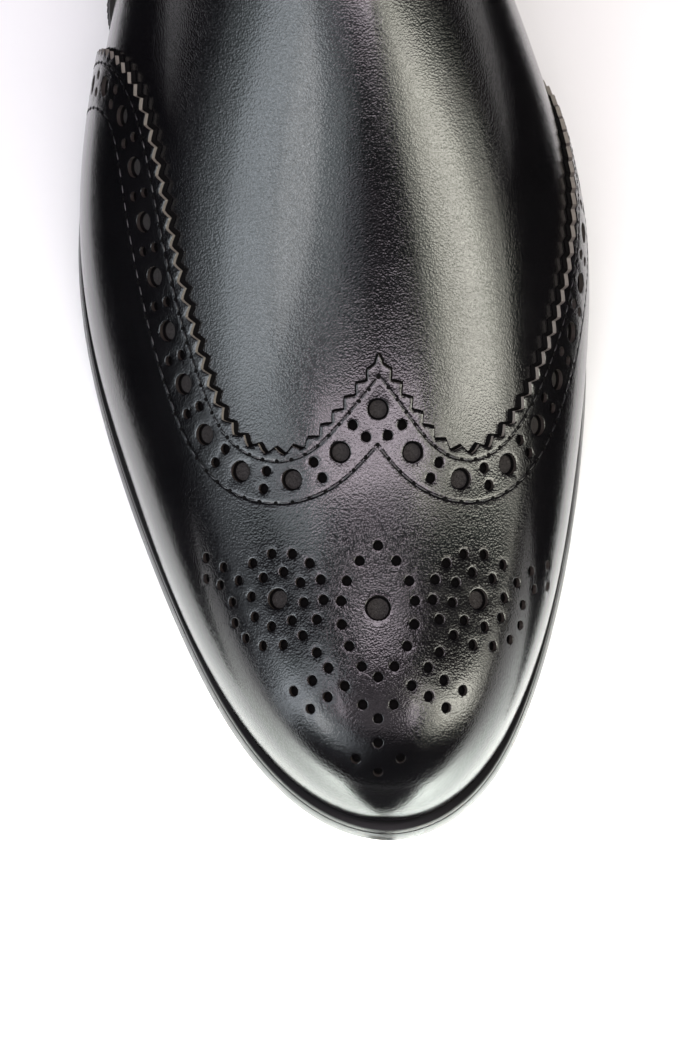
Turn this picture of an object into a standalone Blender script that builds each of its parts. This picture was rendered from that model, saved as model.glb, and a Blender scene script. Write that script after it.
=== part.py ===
"""Brogue monk shoe, right foot: a hollow lasted upper on a welted leather sole.

Sizes are in millimetres and MM turns them to metres. A place on the shoe is (x, f, z): x grows to the inner
(medial) side, f runs forward from the heel's back to the toe, z is up. The toe points along -Y.
"""

import math

import bmesh
import bpy
import numpy as np
from mathutils import Matrix

MM = 0.001

# Lengths along the foot
LAST_LENGTH = 297.0
BREAST = 70.0
SEAT_END = 40.0
FLAT_START = 158.0
FLAT_END = 208.0
THROAT = 118.0

# Heights and thicknesses
HEEL_RISE = 22.0
TOE_SPRING = 12.0
SPRING_POWER = 2.4
OUTSOLE_T = 4.0
WELT_T = 2.2
INSOLE_T = 3.0
LIFT_T = 6.0
WALL = 1.8
PANEL_T = 1.2
STRAP_T = 2.0
TONGUE_T = 1.8
GAP = 0.3
PANEL_LIFT = 0.5

# Heel back: the fullest height above the seat and how far the top leans forward
HEEL_FULL = 18.0
HEEL_LEAN = 6.0
HEEL_SPAN = 45.0
LEAN_END = 80.0

# Lift of a panel's foot above the feather line, clear of the welt
PANEL_FOOT = WELT_T + 1.1

# The last, one row for each section from heel to toe: where the wall stands on the sole at each side, the
# ridge, the half length of its level top, the share of the height that the wall rises at, how far the wall
# swells outward, and the welt's width at each side
COLUMNS = ("station", "lateral", "medial", "ridge_x", "ridge_h", "crown", "rise", "lateral_out",
           "medial_out",
           "welt_lateral", "welt_medial")
SECTIONS = (
    (0.0, -12.0, -12.0, -12.0, 84.0, 1.0, 0.80, 0.0, 0.0, 2.6, 2.6),
    (10.0, -32.6, 8.6, -12.0, 88.0, 11.0, 0.80, 4.0, 4.0, 2.6, 2.6),
    (35.0, -42.0, 18.0, -12.5, 92.0, 12.0, 0.80, 5.0, 5.0, 2.7, 2.7),
    (70.0, -43.0, 17.5, -13.0, 95.0, 13.0, 0.78, 6.0, 7.0, 3.0, 2.8),
    (110.0, -46.0, 14.5, -11.0, 92.0, 14.0, 0.70, 8.0, 11.0, 3.4, 3.2),
    (145.0, -54.0, 27.0, -6.0, 82.0, 16.0, 0.60, 9.0, 14.0, 3.8, 3.6),
    (175.0, -57.2, 37.2, -2.0, 67.0, 18.0, 0.54, 8.0, 12.0, 3.8, 3.6),
    (200.0, -54.5, 39.1, 0.0, 53.0, 21.0, 0.56, 5.5, 7.5, 3.6, 3.6),
    (225.0, -47.5, 37.3, 0.0, 41.5, 21.0, 0.66, 3.5, 4.5, 3.6, 3.4),
    (250.0, -38.6, 33.3, 0.0, 33.5, 17.0, 0.78, 2.5, 3.0, 3.2, 3.1),
    (270.0, -29.2, 27.5, 0.3, 28.5, 12.5, 0.86, 1.5, 2.0, 3.4, 3.3),
    (286.0, -18.2, 19.7, 1.0, 21.5, 7.5, 0.90, 0.8, 0.8, 3.7, 3.7),
    (297.0, 2.2, 2.2, 2.2, 0.0, 0.5, 0.90, 0.0, 0.0, 4.2, 4.2),
)

# Collar line: station and height above the floor, from the heel's back to the throat
COLLAR = (
    (0.0, 88.0),
    (25.0, 83.0),
    (60.0, 76.0),
    (90.0, 83.0),
    (108.0, 93.0),
    (118.0, 102.0),
)

# Wing cap's back edge, from the peak on the ridge to the sole: share of the way from ridge to sole, station
WING_LATERAL = (
    (0.0, 214.5),
    (0.07, 220.0),
    (0.148, 225.5),
    (0.235, 229.8),
    (0.322, 230.0),
    (0.403, 226.3),
    (0.457, 217.0),
    (0.49, 204.0),
    (0.51, 192.0),
    (0.533, 178.0),
    (0.58, 163.0),
    (0.70, 150.0),
    (0.86, 143.5),
    (1.0, 141.0),
)
WING_MEDIAL = (
    (0.0, 214.5),
    (0.07, 219.5),
    (0.15, 225.5),
    (0.23, 229.5),
    (0.30, 230.0),
    (0.385, 227.0),
    (0.47, 219.7),
    (0.55, 209.0),
    (0.62, 197.0),
    (0.67, 186.0),
    (0.72, 172.0),
    (0.785, 158.0),
    (0.875, 147.5),
    (1.0, 143.0),
)

# Quarter's front edge: station at the sole and at the collar
QUARTER_FOOT = 134.0
QUARTER_TOP = 111.0
QUARTER_BOW = 1.6
COLLAR_MARGIN = 0.6

# Strap over the instep: its middle on the ridge, how far it falls back at the sides, half width and ends
STRAP_RIDGE = 131.0
STRAP_FALL = 16.0
STRAP_HALF = 11.0
STRAP_LATERAL = -0.66
STRAP_MEDIAL = 0.64
STRAP_LIFT = 2.2
STRAP_FLARE = 5.0

# Buckle on the strap's outer side
BUCKLE_AT = -0.36
BUCKLE_SPAN = 0.19
BUCKLE_HALF = 15.0
BUCKLE_BAR = 2.6
BUCKLE_T = 2.2
PRONG_W = 2.6
PRONG_T = 1.8

# Tongue under the strap
TONGUE_BACK = 91.0
TONGUE_FRONT = 138.0
TONGUE_HALF = 0.44
TONGUE_GAP = 1.1

# Heel
HEEL_INSET = 0.6
HEEL_TAPER = 2.0

# Colours, linear
BLACK_CALF = (0.012, 0.012, 0.013, 1.0)
BLACK_EDGE = (0.02, 0.02, 0.021, 1.0)
LINING_TAN = (0.30, 0.19, 0.11, 1.0)
RUBBER = (0.014, 0.014, 0.014, 1.0)
STEEL = (0.62, 0.61, 0.60, 1.0)

TABLE = np.array(SECTIONS)


def natural_spline(knots, values, at):
    """Return the natural cubic through the knots, read at the given places."""
    knots = np.asarray(knots, float)
    values = np.asarray(values, float)
    at = np.asarray(at, float)
    step = np.diff(knots)
    count = len(knots)
    system = np.eye(count)
    rhs = np.zeros(count)
    for i in range(1, count - 1):
        system[i, i - 1:i + 2] = step[i - 1], 2 * (step[i - 1] + step[i]), step[i]
        rhs[i] = 6 * ((values[i + 1] - values[i]) / step[i] - (values[i] - values[i - 1]) / step[i - 1])
    bend = np.linalg.solve(system, rhs)
    k = np.clip(np.searchsorted(knots, at) - 1, 0, count - 2)
    h = step[k]
    a = (knots[k + 1] - at) / h
    b = 1 - a
    curve = (a ** 3 - a) * bend[k] + (b ** 3 - b) * bend[k + 1]
    return a * values[k] + b * values[k + 1] + curve * h * h / 6


def station_angle(f):
    """Return the angle that makes widths close round at toe and heel."""
    return np.arccos(np.clip(1 - 2 * np.asarray(f, float) / LAST_LENGTH, -1, 1))


def column(name, f):
    """Return a column of the section table at stations f."""
    return natural_spline(station_angle(TABLE[:, 0]), TABLE[:, COLUMNS.index(name)], station_angle(f))


def sole_line(f):
    """Return the height of the outsole's underside: heel seat, arch, flat tread and toe spring."""
    f = np.asarray(f, float)
    arch = np.clip((FLAT_START - f) / (FLAT_START - SEAT_END), 0, 1)
    toe = np.clip((f - FLAT_END) / (LAST_LENGTH - FLAT_END), 0, 2)
    return HEEL_RISE * arch ** 3 * (10 - 15 * arch + 6 * arch ** 2) + TOE_SPRING * toe ** SPRING_POWER


def feather_z(f):
    """Return the height where the upper's wall starts."""
    return sole_line(f) + OUTSOLE_T + GAP


def wall_height(f, v):
    """Return the height above the feather line at share v of the way up to the ridge."""
    w = 1 - v
    height = np.maximum(column("ridge_h", f), 0.0)
    return height * (3 * w * w * v * column("rise", f) + 3 * w * v * v + v ** 3)


def last_point(f, u):
    """Return places on the upper's outside: u is -1 at the lateral sole, 0 on the ridge, 1 at the medial."""
    f, u = np.broadcast_arrays(np.asarray(f, float), np.asarray(u, float))
    lateral = u < 0
    foot = np.where(lateral, column("lateral", f), column("medial", f))
    out = np.where(lateral, -column("lateral_out", f), column("medial_out", f))
    side = np.where(lateral, -1.0, 1.0)
    ridge = column("ridge_x", f)
    reach = np.minimum(column("crown", f), 0.7 * np.abs(foot - ridge))
    v = 1 - np.abs(u)
    w = 1 - v
    below = w ** 3 * foot + 3 * w * w * v * (foot + out)
    above = 3 * w * v * v * (ridge + side * reach) + v ** 3 * ridge
    x = below + above
    rise = wall_height(f, v)
    bow = ((rise - HEEL_FULL) / HEEL_SPAN) ** 2 - (HEEL_FULL / HEEL_SPAN) ** 2
    lean = HEEL_LEAN * bow * np.clip(1 - f / LEAN_END, 0, 1) ** 2
    return np.stack([x, f + lean, feather_z(f) + rise], -1)


def last_normal(f, u):
    """Return the outward direction at places on the upper."""
    f, u = np.broadcast_arrays(np.asarray(f, float), np.asarray(u, float))
    step_f, step_u = 0.2, 0.004
    across = last_point(f, np.clip(u + step_u, -1, 1)) - last_point(f, np.clip(u - step_u, -1, 1))
    ahead = np.clip(f + step_f, 0, LAST_LENGTH)
    behind = np.clip(f - step_f, 0, LAST_LENGTH)
    along = last_point(ahead, u) - last_point(behind, u)
    normal = np.cross(across, along)
    return normal / np.maximum(np.linalg.norm(normal, axis=-1, keepdims=True), 1e-9)


def lifted(f, u, lift):
    """Return places at a distance outside the upper."""
    return last_point(f, u) + np.asarray(lift, float)[..., None] * last_normal(f, u)


def share_at_height(f, height):
    """Return the share of the way to the ridge where the wall stands this high above the feather line."""
    f, height = np.broadcast_arrays(np.asarray(f, float), np.asarray(height, float))
    low = np.zeros_like(f)
    high = np.ones_like(f)
    for _ in range(40):
        middle = (low + high) / 2
        under = wall_height(f, middle) < height
        low = np.where(under, middle, low)
        high = np.where(under, high, middle)
    return (low + high) / 2


def collar_share(f):
    """Return the share of the way up where the collar cuts the wall, 1 in front of the throat."""
    rows = np.array(COLLAR)
    f = np.asarray(f, float)
    height = natural_spline(rows[:, 0], rows[:, 1], np.minimum(f, THROAT)) - feather_z(f)
    return np.where(f < THROAT - 1e-6, share_at_height(f, height), 1.0)


def panel_u(f, t):
    """Return u for a share t of the way from ridge to a panel's foot, just above the welt."""
    return np.asarray(t, float) * (1 - share_at_height(f, PANEL_FOOT))


def tip_station(height):
    """Return the station near the toe where the ridge stands this high above the feather line."""
    low, high = 250.0, LAST_LENGTH
    for _ in range(50):
        middle = (low + high) / 2
        if column("ridge_h", middle) > height:
            low = middle
        else:
            high = middle
    return low


def edge_line(rows, count):
    """Return count places spaced evenly along the smooth line through the rows."""
    rows = np.array(rows)
    scaled = rows * (70.0, 1.0)
    chord = np.concatenate([[0.0], np.cumsum(np.linalg.norm(np.diff(scaled, axis=0), axis=1))])
    at = np.linspace(0.0, chord[-1], count)
    return np.stack([natural_spline(chord, rows[:, 0], at), natural_spline(chord, rows[:, 1], at)], -1)


def offset_sides(f, lateral_by, medial_by):
    """Return the feather outline at stations f moved outward, as its lateral and medial halves."""
    lateral = np.stack([column("lateral", f), f], -1)
    medial = np.stack([column("medial", f), f], -1)
    loop = np.concatenate([lateral, medial[::-1]])
    lateral_moves = np.broadcast_to(lateral_by, f.shape)
    medial_moves = np.broadcast_to(medial_by, f.shape)
    moves = np.concatenate([lateral_moves, medial_moves[::-1]])
    fine = 1e-3
    angle = station_angle(f)
    before = LAST_LENGTH * (1 - np.cos(angle - fine)) / 2
    after = LAST_LENGTH * (1 - np.cos(angle + fine)) / 2
    slopes = []
    for name in ("lateral", "medial"):
        run = column(name, after) - column(name, before)
        slopes.append(np.stack([run, after - before], -1))
    slopes[0][0] = (-1.0, 0.0)
    slopes[1][0] = (1.0, 0.0)
    if f[-1] > LAST_LENGTH - 1e-6:
        slopes[0][-1] = (1.0, 0.0)
        slopes[1][-1] = (-1.0, 0.0)
    tangent = np.concatenate([slopes[0], -slopes[1][::-1]])
    tangent /= np.linalg.norm(tangent, axis=1)[:, None]
    outward = np.stack([-tangent[:, 1], tangent[:, 0]], -1)
    moved = loop + outward * moves[:, None]
    return moved[:len(f)], moved[len(f):][::-1]


def sole_stations(count, end=LAST_LENGTH):
    """Return stations from the heel's back, close together at the round ends."""
    if end >= LAST_LENGTH:
        return LAST_LENGTH * (1 - np.cos(np.linspace(0, math.pi, count))) / 2
    return end * (1 - np.cos(np.linspace(0, math.pi / 2, count)))


def to_scene(points):
    """Turn (x, f, z) in millimetres to Blender's metres with the toe along -Y."""
    points = np.asarray(points, float)
    return points * (MM, -MM, MM)


def clear_scene():
    """Remove the objects that Blender starts with."""
    for old in list(bpy.data.objects):
        bpy.data.objects.remove(old, do_unlink=True)


def finish_material(name, colour, roughness, metallic=0.0):
    """Make a plain finish."""
    material = bpy.data.materials.new(name)
    material.use_nodes = True
    shader = material.node_tree.nodes["Principled BSDF"]
    shader.inputs["Base Color"].default_value = colour
    shader.inputs["Roughness"].default_value = roughness
    shader.inputs["Metallic"].default_value = metallic
    material.diffuse_color = colour
    return material


def make_object(name, verts, faces, material, home, outward=None):
    """Make a mesh object, weld its shared edges and turn its faces outward."""
    mesh = bpy.data.meshes.new(name)
    mesh.from_pydata([tuple(v) for v in to_scene(verts)], [], faces)
    work = bmesh.new()
    work.from_mesh(mesh)
    bmesh.ops.remove_doubles(work, verts=work.verts, dist=0.00001)
    bmesh.ops.dissolve_degenerate(work, edges=work.edges, dist=0.000001)
    bmesh.ops.recalc_face_normals(work, faces=work.faces)
    if outward is not None:
        place = to_scene(outward[0])
        nearest = min(work.faces, key=lambda face: (np.array(face.calc_center_median()) - place) @
                      (np.array(face.calc_center_median()) - place))
        if np.array(nearest.normal) @ (np.array(outward[1]) * (1, -1, 1)) < 0:
            bmesh.ops.reverse_faces(work, faces=work.faces)
    work.to_mesh(mesh)
    work.free()
    mesh.materials.append(material)
    made = bpy.data.objects.new(name, mesh)
    home.objects.link(made)
    return made


def grid_faces(rows, across, start=0):
    """Return the quads of a grid of points laid row by row."""
    faces = []
    for i in range(rows - 1):
        for j in range(across - 1):
            a = start + i * across + j
            faces.append((a, a + 1, a + across + 1, a + across))
    return faces


def thicken(made, thickness, offset):
    """Give an open sheet its thickness."""
    wall = made.modifiers.new("thickness", "SOLIDIFY")
    wall.thickness = thickness * MM
    wall.offset = offset
    wall.use_even_offset = True
    wall.use_rim = True
    return made


def make_sheet(name, grids, thickness, offset, material, home, outward):
    """Make one shell from grids of points that share edges."""
    verts = []
    faces = []
    for grid in grids:
        rows, across = grid.shape[:2]
        faces += grid_faces(rows, across, len(verts))
        verts += list(grid.reshape(-1, 3))
    made = make_object(name, verts, faces, material, home, outward)
    return thicken(made, thickness, offset)


def make_plate(name, levels, material, home):
    """Make a solid from lateral and medial halves of its outline at each level, bottom first."""
    count = len(levels[0][0])
    verts = []
    faces = []
    for lateral, medial in levels:
        verts += list(lateral) + list(medial)
    size = 2 * count
    ring = list(range(count)) + list(range(size - 1, count - 1, -1))
    for level in range(len(levels) - 1):
        base = level * size
        for i in range(size):
            a = ring[i]
            b = ring[(i + 1) % size]
            faces.append((base + a, base + b, base + size + b, base + size + a))
    for base in (0, (len(levels) - 1) * size):
        for i in range(count - 1):
            faces.append((base + i, base + i + 1, base + count + i + 1, base + count + i))
    return make_object(name, verts, faces, material, home)


def make_ring(name, loops, material, home):
    """Make a closed ring from the loops round its section."""
    count = len(loops[0])
    verts = [point for loop in loops for point in loop]
    faces = []
    for k in range(len(loops)):
        near = k * count
        far = (k + 1) % len(loops) * count
        for i in range(count):
            j = (i + 1) % count
            faces.append((near + i, near + j, far + j, far + i))
    return make_object(name, verts, faces, material, home)


def with_height(halves, height):
    """Give the two halves of an outline their heights, read at each place's own station."""
    return tuple(np.concatenate([half, height(half[:, 1])[:, None]], 1) for half in halves)


def build_outsole(material, home):
    """Make the outsole with its softened lower edge."""
    f = sole_stations(42)
    wide = (column("welt_lateral", f), column("welt_medial", f))
    full = offset_sides(f, *wide)
    soft = offset_sides(f, wide[0] - 0.8, wide[1] - 0.8)
    levels = (
        with_height(soft, sole_line),
        with_height(full, lambda s: sole_line(s) + 0.8),
        with_height(full, lambda s: sole_line(s) + OUTSOLE_T - 0.5),
        with_height(offset_sides(f, wide[0] - 0.4, wide[1] - 0.4), lambda s: sole_line(s) + OUTSOLE_T),
    )
    return make_plate("outsole", levels, material, home)


def build_welt(material, home):
    """Make the welt round the feather line, its inner side leaning with the upper's wall."""
    f = sole_stations(38)
    top = WELT_T + 0.2
    share = share_at_height(f, top)
    swell = []
    for name, side in (("lateral", -1.0), ("medial", 1.0)):
        reach = last_point(f, side * np.maximum(1 - share, 1e-6))[:, 0] - column(name, f)
        swell.append(np.maximum(side * reach, 0.0))
    wide = (column("welt_lateral", f) - 0.3, column("welt_medial", f) - 0.3)
    inner_low = offset_sides(f, GAP + 0.1, GAP + 0.1)
    inner_high = offset_sides(f, GAP + 0.1 + swell[0], GAP + 0.1 + swell[1])
    outer = offset_sides(f, *wide)
    soft = offset_sides(f, wide[0] - 0.5, wide[1] - 0.5)
    rows = (
        (inner_low, 0.0),
        (outer, 0.0),
        (outer, WELT_T - 0.5),
        (soft, WELT_T),
        (inner_high, WELT_T),
    )
    loops = []
    for halves, lift in rows:
        lateral, medial = with_height(halves, lambda s: sole_line(s) + OUTSOLE_T + GAP + lift)
        loops.append(np.concatenate([lateral, medial[-2:0:-1]]))
    return make_ring("welt", loops, material, home)


def build_insole(material, home):
    """Make the insole board inside the wall."""
    f = sole_stations(34)
    inset = -(WALL + 0.7)
    full = offset_sides(f, inset, inset)
    levels = (with_height(full, feather_z), with_height(full, lambda s: feather_z(s) + INSOLE_T))
    return make_plate("insole", levels, material, home)


def heel_outline(f, taper):
    """Return the heel's outline, drawn in from the sole's edge and cut straight at the breast."""
    halves = offset_sides(f, column("welt_lateral", f) - HEEL_INSET - taper,
                          column("welt_medial", f) - HEEL_INSET - taper)
    for half in halves:
        half[-1, 1] = BREAST
    return halves


def build_heel(material, rubber, home):
    """Make the stacked heel and the rubber lift under it."""
    f = sole_stations(22, BREAST)
    top = heel_outline(f, 0.0)
    low = heel_outline(f, HEEL_TAPER)
    block = make_plate("heel_block", (
        with_height(low, lambda s: np.full(s.shape, LIFT_T + GAP)),
        with_height(top, lambda s: sole_line(s) - GAP),
    ), material, home)
    under = heel_outline(f, HEEL_TAPER + 0.6)
    lift = make_plate("heel_top_lift", (
        with_height(under, lambda s: np.zeros(s.shape)),
        with_height(low, lambda s: np.full(s.shape, 0.8)),
        with_height(low, lambda s: np.full(s.shape, LIFT_T)),
    ), rubber, home)
    return block, lift


def upper_stations():
    """Return stations along the upper, close together at heel, throat and toe."""
    rear = THROAT * (1 - np.cos(np.linspace(0, math.pi, 18))) / 2
    start = float(station_angle(THROAT))
    front = LAST_LENGTH * (1 - np.cos(np.linspace(start, math.pi, 24))) / 2
    return np.concatenate([rear, front[1:]])


def build_upper(material, home):
    """Make the lasted upper: one hollow shell, open at the collar and along the feather line."""
    f = upper_stations()[:, None]
    share = np.linspace(0, 1, 11)[None, :] * collar_share(f)
    grids = [last_point(f, side * np.maximum(1 - share, 0.0)) for side in (-1.0, 1.0)]
    grids[0][:, -1] = np.where(share[:, -1:] > 1 - 1e-6, grids[1][:, -1], grids[0][:, -1])
    crown = (last_point(np.array(190.0), np.array(-0.3)), last_normal(np.array(190.0), np.array(-0.3)))
    return make_sheet("upper", grids, WALL, -1.0, material, home, crown)


def build_tongue(material, home):
    """Make the tongue under the vamp, rising through the throat."""
    f = np.linspace(TONGUE_BACK, TONGUE_FRONT, 8)[:, None]
    u = np.linspace(-1, 1, 15)[None, :] * TONGUE_HALF * np.clip((f - TONGUE_BACK) / 12.0 + 0.6, 0, 1)
    grid = lifted(f, u, -(WALL + TONGUE_GAP))
    where = (grid[4, 7], last_normal(f[4, 0], 0.0))
    return make_sheet("tongue", [grid], TONGUE_T, -1.0, material, home, where)


def build_wing_cap(material, home):
    """Make the wing cap: every column runs from the W edge along the last to the toe."""
    count = 19
    lateral = edge_line(WING_LATERAL, count) * (-1.0, 1.0)
    medial = edge_line(WING_MEDIAL, count)
    edge = np.concatenate([lateral[::-1], medial[1:]])
    edge[:, 0] = np.clip(edge[:, 0], -1.0, 1.0)
    tip = tip_station(PANEL_FOOT + 0.4)
    blend = np.linspace(0, 1, 23)[:, None]
    angle = station_angle(edge[None, :, 1])
    angle = angle + (station_angle(tip) - angle) * blend
    f = LAST_LENGTH * (1 - np.cos(angle)) / 2
    u = panel_u(f, edge[None, :, 0])
    grid = lifted(f, u, PANEL_LIFT)
    where = (grid[3, count - 1], last_normal(f[3, count - 1], 0.0))
    return make_sheet("wing_cap", [grid], PANEL_T, 1.0, material, home, where)


def build_quarter(name, side, material, home):
    """Make one quarter facing from the back seam to its raked front edge."""
    height = np.linspace(0, 1, 9)[None, :]
    along = (1 - np.cos(np.linspace(0, math.pi, 22)))[:, None] / 2
    front = QUARTER_FOOT - (QUARTER_FOOT - QUARTER_TOP) * height ** QUARTER_BOW
    back = 0.02
    f = back + (front - back) * along
    foot = share_at_height(f, PANEL_FOOT)
    top = collar_share(f)
    top = share_at_height(f, wall_height(f, top) - COLLAR_MARGIN)
    grid = lifted(f, side * (1 - (foot + (top - foot) * height)), PANEL_LIFT)
    where = (grid[12, 5], last_normal(f[12, 5], side * (1 - (foot + (top - foot) * height))[12, 5]))
    return make_sheet(name, [grid], PANEL_T, 1.0, material, home, where)


def strap_middle(u):
    """Return the station of the strap's middle line."""
    return STRAP_RIDGE - STRAP_FALL * np.abs(u) ** 1.5


def build_strap(material, home):
    """Make the strap over the instep with its rounded outer end."""
    u = np.linspace(STRAP_LATERAL, STRAP_MEDIAL, 26)[:, None]
    past = np.clip((STRAP_LATERAL + 0.12 - u) / 0.12, 0, 1)
    root = np.clip((u - 0.25) / (STRAP_MEDIAL - 0.25), 0, 1)
    half = STRAP_HALF * np.sqrt(1 - 0.86 * past ** 2) + STRAP_FLARE * root ** 2
    f = strap_middle(u) + np.linspace(-1, 1, 5)[None, :] * half
    grid = lifted(f, np.broadcast_to(u, f.shape), STRAP_LIFT)
    where = (grid[13, 2], last_normal(f[13, 2], u[13, 0]))
    return make_sheet("strap", [grid], STRAP_T, 1.0, material, home, where)


def buckle_loop(inset, lift):
    """Return one loop of the buckle frame, bent to the strap."""
    half = BUCKLE_HALF - inset
    span = BUCKLE_SPAN / 2 - inset / 105.0
    turn = np.linspace(0, 2 * math.pi, 28, endpoint=False)
    square = np.maximum(np.abs(np.cos(turn)) ** 5 + np.abs(np.sin(turn)) ** 5, 1e-9) ** (-0.2)
    u = BUCKLE_AT + span * square * np.cos(turn)
    f = strap_middle(BUCKLE_AT) + half * square * np.sin(turn)
    return lifted(f, u, lift)


def build_buckle(frame_material, prong_material, home):
    """Make the buckle's frame and its prong, lying on the strap."""
    low = STRAP_LIFT + STRAP_T + GAP + 0.1
    high = low + BUCKLE_T
    soft = 0.5
    loops = [
        buckle_loop(0.0, low + soft),
        buckle_loop(0.0, high - soft),
        buckle_loop(soft, high),
        buckle_loop(BUCKLE_BAR - soft, high),
        buckle_loop(BUCKLE_BAR, high - soft),
        buckle_loop(BUCKLE_BAR, low + soft),
        buckle_loop(BUCKLE_BAR - soft, low),
        buckle_loop(soft, low),
    ]
    frame = make_ring("buckle_frame", loops, frame_material, home)
    u = np.linspace(BUCKLE_AT - 0.05, BUCKLE_AT + BUCKLE_SPAN / 2 + 0.01, 16)[:, None]
    bar = BUCKLE_AT + BUCKLE_SPAN / 2 - BUCKLE_BAR / 105.0
    climb = np.clip((u - bar + 0.05) / 0.035, 0, 1)
    lift = low + (high + GAP - low) * climb * climb * (3 - 2 * climb)
    f = strap_middle(BUCKLE_AT) + np.array([-0.5, 0.5])[None, :] * PRONG_W
    grid = lifted(np.broadcast_to(f, (16, 2)), np.broadcast_to(u, (16, 2)), lift)
    where = (grid[8, 0], last_normal(f[0, 0], u[8, 0]))
    prong = make_sheet("buckle_prong", [grid], PRONG_T, 1.0, prong_material, home, where)
    return frame, prong


def stand_on_floor(home):
    """Move the whole shoe so that its box stands centred on the floor."""
    bpy.context.view_layer.update()
    graph = bpy.context.evaluated_depsgraph_get()
    corners = []
    for made in home.objects:
        mesh = made.evaluated_get(graph).to_mesh()
        corners += [vert.co[:] for vert in mesh.vertices]
    corners = np.array(corners)
    low = corners.min(0)
    high = corners.max(0)
    shift = Matrix.Translation((-(low[0] + high[0]) / 2, -(low[1] + high[1]) / 2, -low[2]))
    for made in home.objects:
        made.data.transform(shift)


def main():
    """Build the shoe."""
    clear_scene()
    home = bpy.data.collections.new("brogue_monk_shoe")
    bpy.context.scene.collection.children.link(home)

    def calf(name):
        return finish_material(name, BLACK_CALF, 0.3)

    build_outsole(finish_material("outsole_leather", BLACK_EDGE, 0.45), home)
    stacked = finish_material("stacked_leather", BLACK_EDGE, 0.4)
    rubber = finish_material("heel_rubber", RUBBER, 0.6)
    build_heel(stacked, rubber, home)
    build_welt(finish_material("welt_leather", BLACK_EDGE, 0.4), home)
    build_insole(finish_material("insole_leather", LINING_TAN, 0.6), home)
    build_upper(calf("upper_calf"), home)
    build_tongue(calf("tongue_calf"), home)
    build_wing_cap(calf("wing_calf"), home)
    build_quarter("quarter_lateral", -1.0, calf("quarter_lateral_calf"), home)
    build_quarter("quarter_medial", 1.0, calf("quarter_medial_calf"), home)
    build_strap(calf("strap_calf"), home)
    frame_steel = finish_material("buckle_frame_steel", STEEL, 0.25, 1.0)
    prong_steel = finish_material("buckle_prong_steel", STEEL, 0.25, 1.0)
    build_buckle(frame_steel, prong_steel, home)
    stand_on_floor(home)


main()
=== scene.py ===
"""Brogue monk shoe, right foot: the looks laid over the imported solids.

Sizes are in millimetres until Last.to_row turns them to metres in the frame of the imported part. A place on the
shoe is (x, f, z): x grows to the inner (medial) side, f runs forward from the heel's back, z is up. A place on
the upper is also (f, u): u is -1 at the lateral sole, 0 on the ridge and 1 at the medial sole.
"""

import logging
import math
from collections.abc import Callable, Sequence
from dataclasses import dataclass, field
from enum import Enum
from functools import lru_cache

import bmesh
import bpy
import numpy as np
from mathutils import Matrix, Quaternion, Vector
from mathutils.geometry import delaunay_2d_cdt
from mathutils.kdtree import KDTree


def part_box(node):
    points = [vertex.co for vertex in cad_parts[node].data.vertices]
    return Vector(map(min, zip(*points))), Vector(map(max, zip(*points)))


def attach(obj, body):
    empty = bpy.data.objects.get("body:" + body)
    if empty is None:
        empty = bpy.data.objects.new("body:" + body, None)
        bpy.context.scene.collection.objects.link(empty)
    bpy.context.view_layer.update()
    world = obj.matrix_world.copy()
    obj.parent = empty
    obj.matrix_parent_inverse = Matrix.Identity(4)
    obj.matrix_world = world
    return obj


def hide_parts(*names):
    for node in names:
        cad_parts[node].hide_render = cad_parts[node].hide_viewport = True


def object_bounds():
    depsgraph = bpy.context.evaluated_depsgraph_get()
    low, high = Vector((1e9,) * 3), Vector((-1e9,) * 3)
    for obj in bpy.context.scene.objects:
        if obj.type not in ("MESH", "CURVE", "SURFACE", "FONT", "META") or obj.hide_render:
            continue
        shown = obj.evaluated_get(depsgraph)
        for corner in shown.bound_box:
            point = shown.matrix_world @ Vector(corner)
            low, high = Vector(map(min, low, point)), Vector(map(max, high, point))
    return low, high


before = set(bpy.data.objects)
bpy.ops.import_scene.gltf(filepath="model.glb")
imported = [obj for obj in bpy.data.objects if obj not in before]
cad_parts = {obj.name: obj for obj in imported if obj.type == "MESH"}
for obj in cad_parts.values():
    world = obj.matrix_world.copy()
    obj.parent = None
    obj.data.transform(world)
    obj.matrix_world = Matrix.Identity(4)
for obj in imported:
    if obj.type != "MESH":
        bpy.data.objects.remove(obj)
CAD_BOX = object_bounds()

LOG = logging.getLogger("brogue_monk_shoe")

Array = np.ndarray
Pair = tuple[Array, Array]

MM = 0.001
BODY = "root"

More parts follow.
